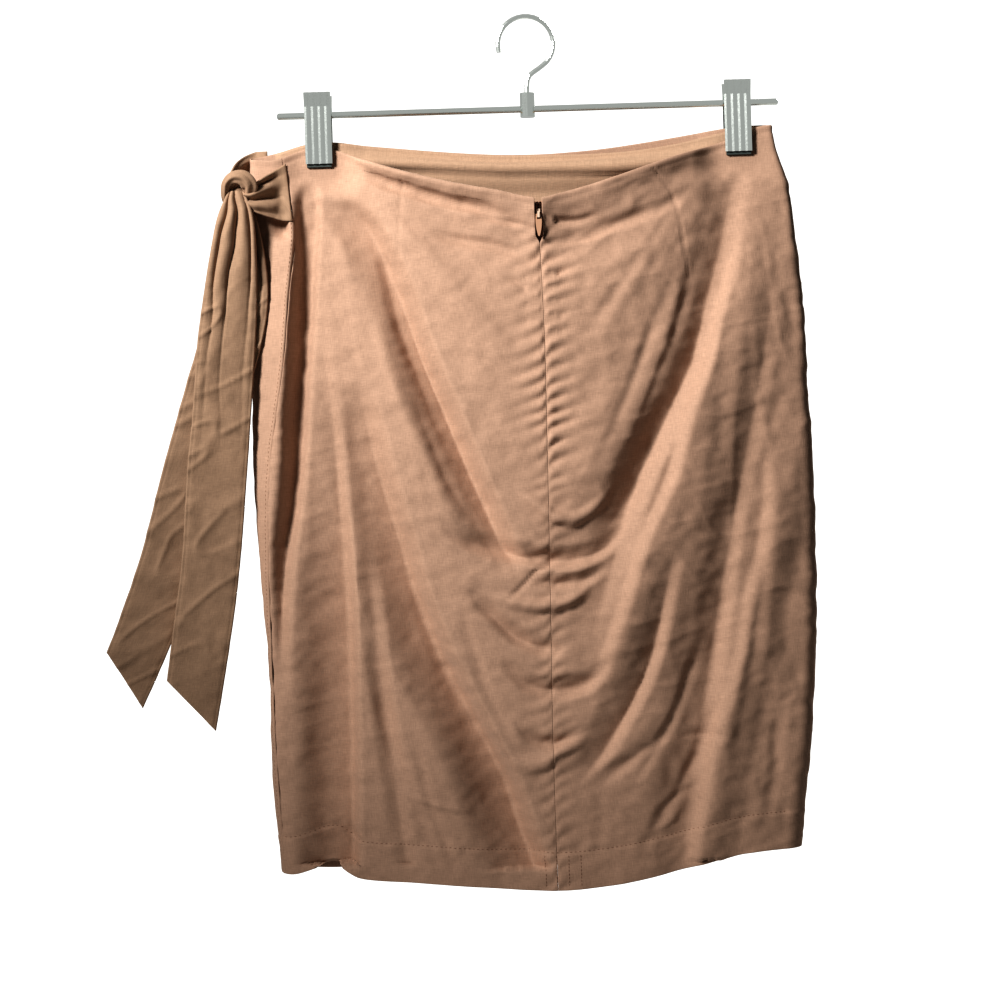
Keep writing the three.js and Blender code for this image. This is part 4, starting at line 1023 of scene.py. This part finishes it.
finish(linen_cloth, back_left, back_right, front_under, front_wrap)
finish(painted_shade_sash_linen, root_back, root_front, near_tail, far_tail, knot_band, knot_core)
finish(linen_inside, front_facing)
finish(tape_cloth, zip_tape)
finish(thread, hem_stitches, side_stitches, box_stitches)
finish(enamel, teeth, "zip_pull_tab")
finish(bright_enamel, "zip_slider")
finish(chrome, "hanger_bar", "hanger_collar", "hanger_hook")
for side in ("left", "right"):
    finish(chrome, *(f"clip_{side}_{part}" for part in ("jaw_front", "jaw_back", "sleeve")))
    finish(rubber, *(f"clip_{side}_{part}" for part in ("pad_front", "pad_back")))

# Stage, lights and camera, in metres

FLOOR_LEVEL = -1.1
FLOOR_REACH = 1.5
FLOOR_GLOW = 0.2
SOFT_LIGHT = 0.03
METAL_LIGHT = 0.35
BACKDROP = 0.93


def floor_disc(name, radius, level, material, corners=96):
    """A round floor of one face, which its material fades out before the rim."""
    turns = [2 * math.pi * corner / corners for corner in range(corners)]
    mesh = bpy.data.meshes.new(name)
    mesh.from_pydata([(radius * math.cos(t), radius * math.sin(t), 0) for t in turns], [],
                     [tuple(range(corners))])
    disc = bpy.data.objects.new(name, mesh)
    disc.location = (0, 0, level)
    disc.data.materials.append(material)
    bpy.context.scene.collection.objects.link(disc)
    disc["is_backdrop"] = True


def floor_material():
    """A pale floor with a small glow of its own, which fades out towards the rim."""
    material, tree, shader = new_material("pale_floor")
    place = node(tree, "TexCoord", {}).outputs["Object"]
    reach = node(tree, "VectorMath", {0: place}, operation="LENGTH").outputs["Value"]
    shown = remap(tree, reach, FLOOR_REACH / 3, FLOOR_REACH * 0.97, 1, 0, interpolation_type="SMOOTHSTEP")
    colour = srgb(240, 239, 236)
    fill(tree, shader, {"Alpha": shown, "Base Color": colour, "Roughness": 0.9,
                        "Emission Color": colour, "Emission Strength": FLOOR_GLOW})
    return material


floor_disc("floor", FLOOR_REACH, FLOOR_LEVEL, floor_material())

# The studio is bright to the eye and in the metal, and gives the cloth only a little soft light.
world = bpy.data.worlds.new("studio")
bpy.context.scene.world = world
world.use_nodes = True
sky = world.node_tree
path = node(sky, "LightPath", {})
seen = remap(sky, path.outputs["Is Camera Ray"], 0, 1, SOFT_LIGHT, BACKDROP)
in_metal = node(sky, "Math", {0: path.outputs["Is Glossy Ray"], 1: METAL_LIGHT}, operation="MULTIPLY")
strength = node(sky, "Math", {0: seen, 1: in_metal}, operation="ADD")
fill(sky, sky.nodes["Background"], {"Color": (1.0, 0.995, 0.98, 1.0), "Strength": strength})


def aimed(name, light, location, aim, power, colour):
    """A lamp that shines from one place towards another."""
    light.energy = power
    light.color = colour
    lamp = bpy.data.objects.new(name, light)
    lamp.location = location
    lamp.rotation_euler = (Vector(aim) - Vector(location)).to_track_quat("-Z", "Y").to_euler()
    bpy.context.scene.collection.objects.link(lamp)


key = bpy.data.lights.new("key", "SPOT")
key.shadow_soft_size = 0.25
key.spot_size = math.radians(40)
key.spot_blend = 1.0
aimed("key", key, (-1.25, -1.25, 0.7), (0, 0, -0.065), power=272, colour=(1.0, 0.985, 0.96))

behind = bpy.data.lights.new("behind", "AREA")
behind.shape = "DISK"
behind.size = 1.0
aimed("behind", behind, (0.9, 1.8, 0.8), (0, 0, -0.35), power=31, colour=(1.0, 0.98, 0.95))

PHOTO_DISTANCE = 2.0
PHOTO_WIDTH = 0.75
PHOTO_ROLL = 1.75
PHOTO_X = -0.0295
PHOTO_LEVEL = -0.3603
camera_data = bpy.data.cameras.new("photo_camera")
camera_data.sensor_width = 36
camera_data.lens = camera_data.sensor_width * PHOTO_DISTANCE / PHOTO_WIDTH
camera = bpy.data.objects.new("photo_camera", camera_data)
camera.location = (PHOTO_X, -PHOTO_DISTANCE, PHOTO_LEVEL)
camera.rotation_euler = (math.radians(90), math.radians(PHOTO_ROLL), 0)
bpy.context.scene.collection.objects.link(camera)
bpy.context.scene.camera = camera
bpy.context.scene.view_settings.view_transform = "Standard"
bpy.context.scene.view_settings.look = "High Contrast"

{"cad": CAD_BOX, "visual": [list(corner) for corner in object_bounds()]}
